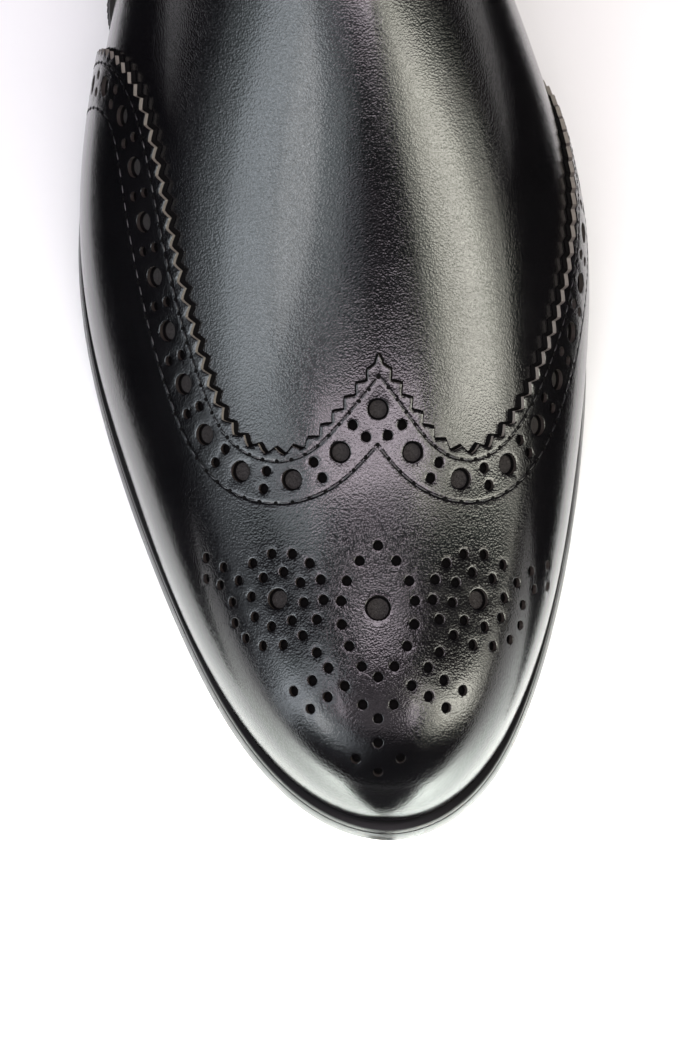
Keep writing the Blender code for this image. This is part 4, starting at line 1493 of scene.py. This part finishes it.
@dataclass
class Upper:
    """The lasted upper with its tongue and quarters: one hollow shell, lined, and the panels sewn on it."""

    last: Last
    finishes: Wardrobe
    stitching: Stitching
    wall: float = 1.8
    seat: float = 0.1
    top: float = 1.7
    foot: float = 2.5
    quarter_foot: float = 134.0
    quarter_top: float = 111.0
    quarter_bow: float = 1.6
    collar_margin: float = 0.6
    tongue_back: float = 91.0
    tongue_front: float = 138.0
    tongue_half: float = 0.44
    tongue_gap: float = 1.1
    tongue_t: float = 1.8
    tongue_size: tuple[float, float] = (48.0, 62.0)
    stitch_pitch: float = 2.8
    quarter_size: tuple[float, float] = (150.0, 66.0)
    front_size: float = 190.0
    row_insets: tuple[float, float] = (2.0, 4.4)
    back_strip: float = 0.075
    bead_points: int = 7

    def build(self) -> None:
        """Make the shell, the quarters and the tongue."""
        self.build_shell()
        for side in Side:
            self.build_quarter(side)
        self.build_tongue()

    def build_shell(self) -> None:
        """Make the hollow shell, with a rounded collar and a lining."""
        start = float(self.last.station_angle(self.last.throat))
        rear = self.last.throat * (1 - np.cos(np.linspace(0, math.pi, 60))) / 2
        front = self.last.angle_station(np.linspace(start, math.pi, 120))
        f = np.concatenate([rear, front[1:]])[:, None]
        share = np.linspace(0, 1, 56)[None, :] * self.last.collar_share(f)
        draft = MeshDraft()
        for side in Side:
            u = side.value * np.maximum(1 - share, 0.0)
            f_all = np.broadcast_to(f, u.shape)
            rows, across = u.shape
            turn = np.linspace(0, math.pi, self.bead_points)[None, :, None]
            out = self.last.normal(f_all, u)
            face = self.last.point(f_all, u)
            lining = face - out * self.wall
            draft.add(face, grid_faces(rows, across), 0)
            draft.add(lining, grid_faces(rows, across), 1)
            half = self.wall / 2
            cut = len(rear)
            edge, edge_out = face[:cut, -1], out[:cut, -1]
            up = unit(face[:cut, -1] - face[:cut, -2])
            bead = (edge - edge_out * half)[:, None] + half * (
                edge_out[:, None] * np.cos(turn) + up[:, None] * np.sin(turn) * 0.5)
            draft.add(bead, grid_faces(cut, self.bead_points), 0)
            draft.add(np.stack([face[:, 0], lining[:, 0]], 1), grid_faces(rows, 2), 1)
        coats = [self.finishes.vamp, self.finishes.lining]
        settle(draft.to_object("upper_lasted", coats, self.last, sharp=60.0), "upper_calf", "upper")

    def quarter_place(self, side: Side) -> Callable[[Array, Array], Pair]:
        """Return the map of a quarter: along from the back seam and up from the foot.

        Args:
            side: Which side.

        Returns:
            The map to stations and shares.
        """
        def where(along: Array, height: Array) -> Pair:
            """Return stations and shares.

            Args:
                along: Shares of the way along.
                height: Shares of the way up.

            Returns:
                Stations and shares.
            """
            front = self.quarter_foot - (self.quarter_foot - self.quarter_top) * height ** self.quarter_bow
            f = 0.02 + (front - 0.02) * (1 - np.cos(math.pi * along)) / 2
            foot = self.last.share_at_height(f, self.foot)
            collar = self.last.wall_height(f, self.last.collar_share(f))
            top = self.last.share_at_height(f, collar - self.collar_margin)
            return f, side.value * (1 - (foot + (top - foot) * height))
        return where

    def build_quarter(self, side: Side) -> None:
        """Make one quarter with its edges rounded and sewn.

        Args:
            side: Which side.
        """
        name = "quarter_" + side.name.lower()
        where = self.quarter_place(side)
        draft = Slab(self.last, where, self.quarter_size, (120, 44), self.seat, self.top).draft()
        piece = draft.to_object(name + "_panel", [self.finishes.quarter, self.finishes.raw], self.last)
        settle(piece, name + "_calf", name)
        run = np.linspace(0.02, 1, 400)
        length, height = self.quarter_size
        rows = []
        for inset in self.row_insets:
            rows.append((run * (1 - inset / length), 1 - inset / height))
            rows.append((1 - inset / self.front_size, run * (1 - inset / height)))
        rows.append((self.back_strip, run * (1 - self.row_insets[0] / height)))
        for along, up in rows:
            self.stitching.sew(where, along, up, self.top, self.stitch_pitch)

    def build_tongue(self) -> None:
        """Make the tongue under the vamp, rising through the throat."""
        def where(along: Array, across: Array) -> Pair:
            """Return stations and shares.

            Args:
                along: Shares of the way along.
                across: Shares of the way across.

            Returns:
                Stations and shares.
            """
            f = self.tongue_back + (self.tongue_front - self.tongue_back) * along
            wide = np.clip((f - self.tongue_back) / 12.0 + 0.6, 0, 1)
            return f, (2 * across - 1) * self.tongue_half * wide
        high = -(self.wall + self.tongue_gap)
        low = high - self.tongue_t
        draft = Slab(self.last, where, self.tongue_size, (40, 50), low, high, roll=0.8).draft()
        piece = draft.to_object("tongue_lined", [self.finishes.tongue, self.finishes.lining], self.last)
        settle(piece, "tongue_calf", "tongue")


@dataclass
class StrapAndBuckle:
    """The strap over the instep, punched and sewn, and the buckle that holds it."""

    last: Last
    finishes: Wardrobe
    stitching: Stitching
    ridge: float = 131.0
    fall: float = 16.0
    half: float = 11.0
    lateral: float = -0.66
    medial: float = 0.64
    lift: float = 2.2
    thickness: float = 2.0
    flare: float = 5.0
    buckle_at: float = -0.36
    buckle_span: float = 0.19
    buckle_half: float = 15.0
    bar: float = 2.6
    buckle_t: float = 2.2
    prong_w: float = 2.6
    prong_t: float = 1.8
    share_mm: float = 105.0
    hole_shares: tuple[float, ...] = (-0.41, -0.475, -0.54)
    hole_radius: float = 1.3
    hole_rings: tuple[tuple[float, float], ...] = ((1.25, 0.0), (1.0, 0.07), (0.85, 0.03), (0.75, -0.6))
    hole_sides: int = 20
    round_end: float = 0.12
    flare_from: float = 0.25
    size: tuple[float, float] = (112.0, 22.0)
    seams: tuple[float, float] = (0.09, 0.91)
    stitch_pitch: float = 2.7
    frame_points: int = 120
    bar_sides: int = 16
    prong_points: int = 60

    def middle(self, u: Array | float) -> Array:
        """Return the station of the strap's middle line."""
        return self.ridge - self.fall * np.abs(u) ** 1.5

    def half_width(self, u: Array) -> Array:
        """Return half the strap's width: round at the outer end, flared at the root.

        Args:
            u: Shares along the strap.

        Returns:
            The half widths.
        """
        past = np.clip((self.lateral + self.round_end - u) / self.round_end, 0, 1)
        root = np.clip((u - self.flare_from) / (self.medial - self.flare_from), 0, 1)
        return self.half * np.sqrt(1 - 0.86 * past ** 2) + self.flare * root ** 2

    def place(self, along: Array, across: Array) -> Pair:
        """Return stations and shares on the strap."""
        u = self.lateral + (self.medial - self.lateral) * along
        return self.middle(u) + (2 * across - 1) * self.half_width(u), u

    def build(self) -> None:
        """Make the strap, the frame and the prong."""
        high = self.lift + self.thickness
        draft = Slab(self.last, self.place, self.size, (110, 22), self.lift, high, roll=0.9, drop=0.5).draft()
        piece = draft.to_object("strap_sewn", [self.finishes.strap, self.finishes.raw], self.last)
        settle(piece, "strap_calf", "strap")
        for across in self.seams:
            self.stitching.sew(self.place, np.linspace(0.03, 1, 400), across, high, self.stitch_pitch)
        self.build_holes(high)
        self.build_frame(high + self.last.gap + 0.1)
        self.build_prong(high + self.last.gap + 0.1)

    def build_holes(self, high: float) -> None:
        """Make the strap's punched holes, each a cup with a worn lip and painted shade at its bottom.

        Args:
            high: Height of the strap's face.
        """
        draft = MeshDraft()
        sides = self.hole_sides
        turn = full_turn(sides)
        for share in self.hole_shares:
            rings = []
            for radius, rise in self.hole_rings:
                f = self.middle(share) + self.hole_radius * radius * np.sin(turn)
                u = share + self.hole_radius * radius * np.cos(turn) / self.share_mm
                rings.append(self.last.lifted(f, u, high + rise))
            start = draft.add(np.stack(rings), grid_faces(len(rings), sides, loop_across=True))
            # The bottom of each hole is painted shade
            draft.join(np.arange(sides)[None] + start + (len(rings) - 1) * sides, 1)
        coats = [self.finishes.raw, self.finishes.shade]
        settle(draft.to_object("strap_holes", coats, self.last, weld=False), "strap_calf")

    def frame_loop(self, inset: float, lift: float) -> Array:
        """Return one loop of the buckle's frame, bent to the strap.

        Args:
            inset: Distance from the frame's outside.
            lift: Height above the upper.

        Returns:
            Places of the loop.
        """
        turn = full_turn(self.frame_points)
        square = (np.abs(np.cos(turn)) ** 5 + np.abs(np.sin(turn)) ** 5) ** -0.2
        u = self.buckle_at + (self.buckle_span / 2 - inset / self.share_mm) * square * np.cos(turn)
        f = self.middle(self.buckle_at) + (self.buckle_half - inset) * square * np.sin(turn)
        return self.last.lifted(f, u, lift)

    def build_frame(self, low: float) -> None:
        """Make the buckle's frame from a rounded bar.

        Args:
            low: Height of its underside.
        """
        loops = []
        for turn in full_turn(self.bar_sides):
            wide, tall = (math.copysign(abs(way) ** 0.6, way) for way in (math.cos(turn), math.sin(turn)))
            loops.append(self.frame_loop(self.bar / 2 * (1 - wide), low + self.buckle_t / 2 * (1 + tall)))
        draft = MeshDraft()
        faces = grid_faces(self.bar_sides, self.frame_points, loop_rows=True, loop_across=True)
        draft.add(np.stack(loops), faces)
        piece = draft.to_object("buckle_frame_brushed", [self.finishes.steel], self.last)
        settle(piece, "buckle_frame_steel", "buckle_frame")

    def build_prong(self, low: float) -> None:
        """Make the prong, up through the strap and over the frame.

        Args:
            low: Height of its low end.
        """
        points, sides = self.prong_points, self.bar_sides
        u = np.linspace(self.buckle_at - 0.05, self.buckle_at + self.buckle_span / 2 + 0.01, points)
        bar = self.buckle_at + self.buckle_span / 2 - self.bar / self.share_mm
        climb = np.clip((u - bar + 0.05) / 0.035, 0, 1)
        lift = low + (self.buckle_t + self.last.gap) * climb * climb * (3 - 2 * climb) + self.prong_t / 2
        end = np.clip(np.minimum(u - u[0], u[-1] - u) / 0.012, 0.05, 1) ** 0.5
        turn = full_turn(sides)[None]
        f = self.middle(self.buckle_at) + end[:, None] * self.prong_w / 2 * np.cos(turn)
        high = lift[:, None] + end[:, None] * self.prong_t / 2 * np.sin(turn)
        draft = MeshDraft()
        start = draft.add(self.last.lifted(f, u[:, None], high), grid_faces(points, sides, loop_across=True))
        draft.join(np.arange(sides)[None, ::-1] + start)
        draft.join(np.arange(sides)[None] + start + (points - 1) * sides)
        piece = draft.to_object("buckle_prong_brushed", [self.finishes.steel], self.last)
        settle(piece, "buckle_prong_steel", "buckle_prong")


@dataclass
class Bottom:
    """Everything under the upper: insole, welt, outsole, stacked heel and rubber lift."""

    last: Last
    finishes: Wardrobe
    lift_t: float = 6.0
    insole_t: float = 3.0
    insole_inset: float = 2.5
    heel_inset: float = 0.6
    heel_taper: float = 2.0
    layers: int = 4
    stations: int = 200

    def build(self) -> None:
        """Make the five pieces from the top down."""
        self.build_insole()
        self.build_welt()
        self.build_outsole()
        self.build_heel()

    def stack(self, levels: Sequence[tuple[Pair, Callable[[Array], Array]]], low: int = 0) -> MeshDraft:
        """Make a closed solid from its outlines.

        Args:
            levels: Outline and height of each level, from the bottom.
            low: Finish of the bottom. The sides and the top have finish 0.

        Returns:
            The draft of the solid.
        """
        rings = []
        for (lateral, medial), height in levels:
            ring = np.concatenate([lateral, medial[::-1]])
            rings.append(np.concatenate([ring, height(ring[:, 1])[:, None]], 1))
        count, size = len(levels[0][0][0]), len(rings[0])
        draft = MeshDraft()
        draft.add(np.stack(rings), grid_faces(len(rings), size, loop_across=True))
        i = np.arange(count - 1)
        cap = np.stack([i, i + 1, size - 2 - i, size - 1 - i], -1)
        draft.join(cap, low)
        draft.join(cap[:, ::-1] + (len(rings) - 1) * size)
        return draft

    def build_insole(self) -> None:
        """Make the insole with its leather cover."""
        f = self.last.sole_stations(120)
        levels = []
        full = self.insole_t
        for inset, rise in ((0.0, 0.0), (0.0, full - 0.5), (0.2, full - 0.1), (0.6, full)):
            outline = self.last.offset_sides(f, -(self.insole_inset + inset), -(self.insole_inset + inset))
            levels.append((outline, lambda s, rise=rise: self.last.feather_z(s) + rise))
        piece = self.stack(levels).to_object("insole_covered", [self.finishes.sock], self.last)
        settle(piece, "insole_leather", "insole")

    def build_welt(self) -> None:
        """Make the welt, its inner side leaning with the upper's wall and its outer edge rounded."""
        f = self.last.sole_stations(self.stations)
        share = self.last.share_at_height(f, self.last.welt_t + 0.2)
        swell = []
        for side in Side:
            reach = self.last.point(f, side.value * np.maximum(1 - share, 1e-6))[:, 0]
            swell.append(np.maximum(side.value * (reach - self.last.column(side.name.lower(), f)), 0.0))
        near = self.last.gap + 0.1
        thick = self.last.welt_t
        rows = [(self.last.offset_sides(f, near, near), 0.0)]
        for inset, rise in ((0.74, 0.0), (0.68, 0.06), (0.7, 0.35), (0.74, thick - 0.7), (0.8, thick - 0.4),
                            (0.92, thick - 0.14), (1.15, thick)):
            rows.append((self.last.sole_edge(f, inset), rise))
        rows.append((self.last.offset_sides(f, near + swell[0], near + swell[1]), thick))
        loops = []
        for (lateral, medial), rise in rows:
            ring = np.concatenate([lateral, medial[-2:0:-1]])
            loops.append(np.concatenate([ring, (self.last.feather_z(ring[:, 1]) + rise)[:, None]], 1))
        draft = MeshDraft()
        draft.add(np.stack(loops), grid_faces(len(loops), len(loops[0]), loop_rows=True, loop_across=True))
        settle(draft.to_object("welt_inked", [self.finishes.welt], self.last), "welt_leather", "welt")

    def build_outsole(self) -> None:
        """Make the outsole with its trimmed edge and its leather tread."""
        f = self.last.sole_stations(self.stations)
        full = self.last.outsole_t
        levels = []
        for inset, rise in ((1.3, 0.0), (0.55, 0.1), (0.2, 0.35), (0.0, 0.8), (0.38, full - 0.8),
                            (0.52, full - 0.3), (0.6, full - 0.05), (0.66, full)):
            levels.append((self.last.sole_edge(f, inset), lambda s, rise=rise: self.last.sole_line(s) + rise))
        coats = [self.finishes.edge, self.finishes.tread]
        piece = self.stack(levels, low=1).to_object("outsole_burnished", coats, self.last)
        settle(piece, "outsole_leather", "outsole")

    def heel_outline(self, f: Array, taper: float) -> Pair:
        """Return the heel's outline, cut straight at the breast.

        Args:
            f: Stations.
            taper: Distance drawn in.

        Returns:
            The lateral and the medial half.
        """
        halves = self.last.sole_edge(f, self.heel_inset + taper)
        for half in halves:
            half[-1, 1] = self.last.breast
        return halves

    def build_heel(self) -> None:
        """Make the stacked heel with a line between its layers, and the rubber lift under it."""
        f = self.last.sole_stations(70, self.last.breast)
        base = self.lift_t + self.last.gap

        def level(share: float) -> Callable[[Array], Array]:
            """Return the height of a share of the way up the block."""
            return lambda s: base + (self.last.sole_line(s) - self.last.gap - base) * share

        levels = []
        for k in range(self.layers):
            for part, pinch in ((0.0, 0.22), (0.05, 0.0), (0.95, 0.0)):
                share = (k + part) / self.layers
                levels.append((self.heel_outline(f, self.heel_taper * (1 - share) + pinch), level(share)))
        levels.append((self.heel_outline(f, 0.0), level(1.0)))
        piece = self.stack(levels).to_object("heel_stacked", [self.finishes.edge], self.last)
        settle(piece, "stacked_leather", "heel_block")
        levels = []
        full = self.lift_t
        for taper, rise in ((0.7, 0.0), (0.25, 0.15), (0.0, 0.6), (0.0, full - 0.25), (0.2, full)):
            outline = self.heel_outline(f, self.heel_taper + taper)
            levels.append((outline, lambda s, rise=rise: np.full(s.shape, rise)))
        piece = self.stack(levels).to_object("heel_lift_moulded", [self.finishes.rubber], self.last)
        settle(piece, "heel_rubber", "heel_top_lift")


# Middle of the vamp, where the side lights point, in metres
VAMP = (0.0, -0.08, 0.05)


@dataclass(frozen=True)
class Panel:
    """One soft light: its stand, aim, size, power, tint and lean, and whether the shoe mirrors it."""

    name: str
    stand: tuple[float, float, float]
    aim: tuple[float, float, float]
    size: tuple[float, float]
    watts: float
    tint: str = "#ffffff"
    lean: float = 0.0
    mirrored: bool = True

    def build(self, paper: bpy.types.Collection) -> None:
        """Hang the light.

        Args:
            paper: What a light that the shoe doesn't mirror shines on.
        """
        data = bpy.data.lights.new(self.name, "AREA")
        data.shape = "RECTANGLE"
        data.size, data.size_y = self.size
        data.energy = self.watts
        data.color = srgb(self.tint)[:3]
        lamp = bpy.data.objects.new(self.name, data)
        lamp.location = self.stand
        facing = (Vector(self.aim) - Vector(self.stand)).to_track_quat("-Z", "Y")
        lamp.rotation_euler = (facing @ Quaternion((0.0, 0.0, 1.0), math.radians(self.lean))).to_euler()
        lamp.visible_camera = False
        lamp.visible_glossy = self.mirrored
        if not self.mirrored:
            lamp.light_linking.receiver_collection = paper
        bpy.context.scene.collection.objects.link(lamp)


@dataclass
class Studio:
    """The pale floor, the soft lights and the camera over the toe."""

    last: Last
    finishes: Wardrobe
    camera_place: tuple[float, float, float] = (-5.32, 448.68, 749.24)
    tilt: float = 16.0
    lens: float = 132.9
    sensor: float = 36.0
    floor_half: float = 3.0
    panels: tuple[Panel, ...] = (
        Panel("softbox_left", (-0.671, -0.532, 0.638), VAMP, (1.3, 0.6), 2.0, "#eef7ff", 30.0),
        Panel("softbox_left_core", (-0.661, -0.525, 0.629), VAMP, (0.8, 0.32), 1.4, "#eef7ff", 30.0),
        Panel("softbox_left_lamp", (-0.63, -0.53, 0.65), VAMP, (0.2, 0.2), 0.75, "#ffffff"),
        Panel("strip_left", (-0.62, -0.3, 0.5), (0.0, -0.12, 0.05), (0.15, 1.15), 1.9, "#eef7ff", 9.0),
        Panel("softbox_right", (0.819, -0.362, 0.55), VAMP, (0.36, 1.0), 3.9, "#fffdef", 30.0),
        Panel("softbox_right_core", (0.807, -0.358, 0.543), VAMP, (0.2, 0.6), 1.8, "#fffdef", 30.0),
        Panel("strip_right", (0.56, -0.26, 0.66), (0.0, -0.12, 0.05), (0.13, 0.8), 1.8, "#fffdef", 9.0),
        Panel("overhead_front", (-0.03, -0.5, 1.4), (0.0, -0.08, 0.0), (1.2, 0.32), 11.0, "#fff1fc"),
        Panel("overhead_back", (0.0, 0.16, 1.4), (0.0, -0.08, 0.0), (0.6, 0.2), 4.0, "#fff1fc"),
        Panel("floor_fill", (0.0, 0.0, 2.6), (0.0, 0.0, 0.0), (4.0, 4.0), 48.0, mirrored=False),
        Panel("floor_front", (0.0, -0.265, 0.055), (0.0, -0.265, 0.0), (0.24, 0.13), 2.75, "#f6fff6",
              mirrored=False),
        Panel("floor_toe", (0.055, -0.205, 0.04), (0.055, -0.205, 0.0), (0.05, 0.06), 0.12, "#f6fff6",
              mirrored=False),
    )
    card_gap: float = 0.022
    card_height: float = 0.052
    card_front: float = -0.135
    card_slope: float = 0.075
    card_sides: int = 96
    card_low: float = 0.0005
    card_flat: float = 0.0006
    flag_height: float = 0.175
    flag: tuple[tuple[float, float], ...] = (
        (-0.05, -0.146), (0.055, -0.146), (0.055, -0.235), (-0.05, -0.235))
    toe_card: tuple[tuple[float, float], ...] = (
        (0.0062, -0.1545), (0.0122, -0.1545), (0.0142, -0.1615), (0.0042, -0.1615))
    front_card: tuple[tuple[float, float], ...] = (
        (0.0095, -0.1665), (0.03, -0.2), (0.11, -0.32), (0.13, -0.6), (-0.11, -0.6), (-0.09, -0.32),
        (-0.012, -0.2))

    def build(self) -> None:
        """Set the stage."""
        scene = bpy.context.scene
        scene.view_settings.view_transform = "Standard"
        scene.world = self.build_walls()
        paper = bpy.data.collections.new("floor_only")
        paper.objects.link(self.build_floor())
        self.build_cards()
        for panel in self.panels:
            panel.build(paper)
        data = bpy.data.cameras.new("camera")
        data.sensor_fit = "VERTICAL"
        data.sensor_height = self.sensor
        data.lens = self.lens
        camera = bpy.data.objects.new("camera", data)
        camera.location = self.last.to_row(np.array(self.camera_place))
        camera.rotation_euler = (math.radians(self.tilt), 0.0, 0.0)
        scene.collection.objects.link(camera)
        scene.camera = camera

    def build_walls(self) -> bpy.types.World:
        """Return the studio walls: pale paper to look at, and dark where the leather mirrors them.

        Returns:
            The world.
        """
        world = bpy.data.worlds.new("studio_walls")
        world.use_nodes = True
        tree = world.node_tree
        dark = tree.nodes["Background"]
        dark.inputs["Color"].default_value = srgb("#0c0c0e")
        seen = add_node(tree, "ShaderNodeLightPath").outputs["Is Camera Ray"]
        pale = add_node(tree, "ShaderNodeBackground", {"Color": srgb("#d9d9da"), "Strength": 1.0})
        both = add_node(tree, "ShaderNodeMixShader", {0: seen, 1: dark.outputs[0], 2: pale.outputs[0]})
        tree.links.new(both.outputs[0], tree.nodes["World Output"].inputs["Surface"])
        return world

    def build_cards(self) -> None:
        """Stand black card round the shoe and before the toe, where only its reflections show it."""
        turn = full_turn(self.card_sides)
        half = (np.array(CAD_BOX[1]) - np.array(CAD_BOX[0]))[:2] / 2 + self.card_gap
        ring = np.stack([np.cos(turn), np.sin(turn)], -1) * half
        tall = self.card_height * np.clip((ring[:, 1] - self.card_front) / self.card_slope, 0.02, 1.0)
        points = [(x, y, self.card_low) for x, y in ring] + [(x, y, z) for (x, y), z in zip(ring, tall)]
        gone = ring[:, 1] < self.card_front
        faces = [face for face in grid_faces(2, self.card_sides, loop_across=True).tolist()
                 if not gone[np.array(face) % self.card_sides].any()]
        for outline, height in ((self.toe_card, self.card_flat), (self.front_card, self.card_flat),
                                (self.flag, self.flag_height)):
            faces.append(list(range(len(points), len(points) + len(outline))))
            points += [(x, y, height) for x, y in outline]
        mesh = bpy.data.meshes.new("black_cards")
        mesh.from_pydata(points, [], faces)
        mesh.materials.append(self.finishes.card)
        cards = bpy.data.objects.new("black_cards", mesh)
        for ray in ("camera", "diffuse", "shadow", "transmission"):
            setattr(cards, "visible_" + ray, False)
        bpy.context.scene.collection.objects.link(cards)

    def build_floor(self) -> bpy.types.Object:
        """Lay the floor, a sheet of paper that runs out of sight, and return it.

        Returns:
            The floor.
        """
        half = self.floor_half
        mesh = bpy.data.meshes.new("floor")
        corners = [(-half, -half, 0), (half, -half, 0), (half, half, 0), (-half, half, 0)]
        mesh.from_pydata(corners, [], [(0, 1, 2, 3)])
        mesh.materials.append(self.finishes.paper)
        floor = bpy.data.objects.new("floor", mesh)
        bpy.context.scene.collection.objects.link(floor)
        return floor


def main() -> None:
    """Build the shoe and its studio."""
    logging.basicConfig(level=logging.INFO, format="%(message)s")
    last = Last.from_frame()
    finishes = Wardrobe()
    stitching = Stitching(last)
    Studio(last, finishes).build()
    Upper(last, finishes, stitching).build()
    WingCap(last, finishes, stitching).build()
    StrapAndBuckle(last, finishes, stitching).build()
    Bottom(last, finishes).build()
    stitching.build(finishes)


if __name__ == "__main__":
    main()
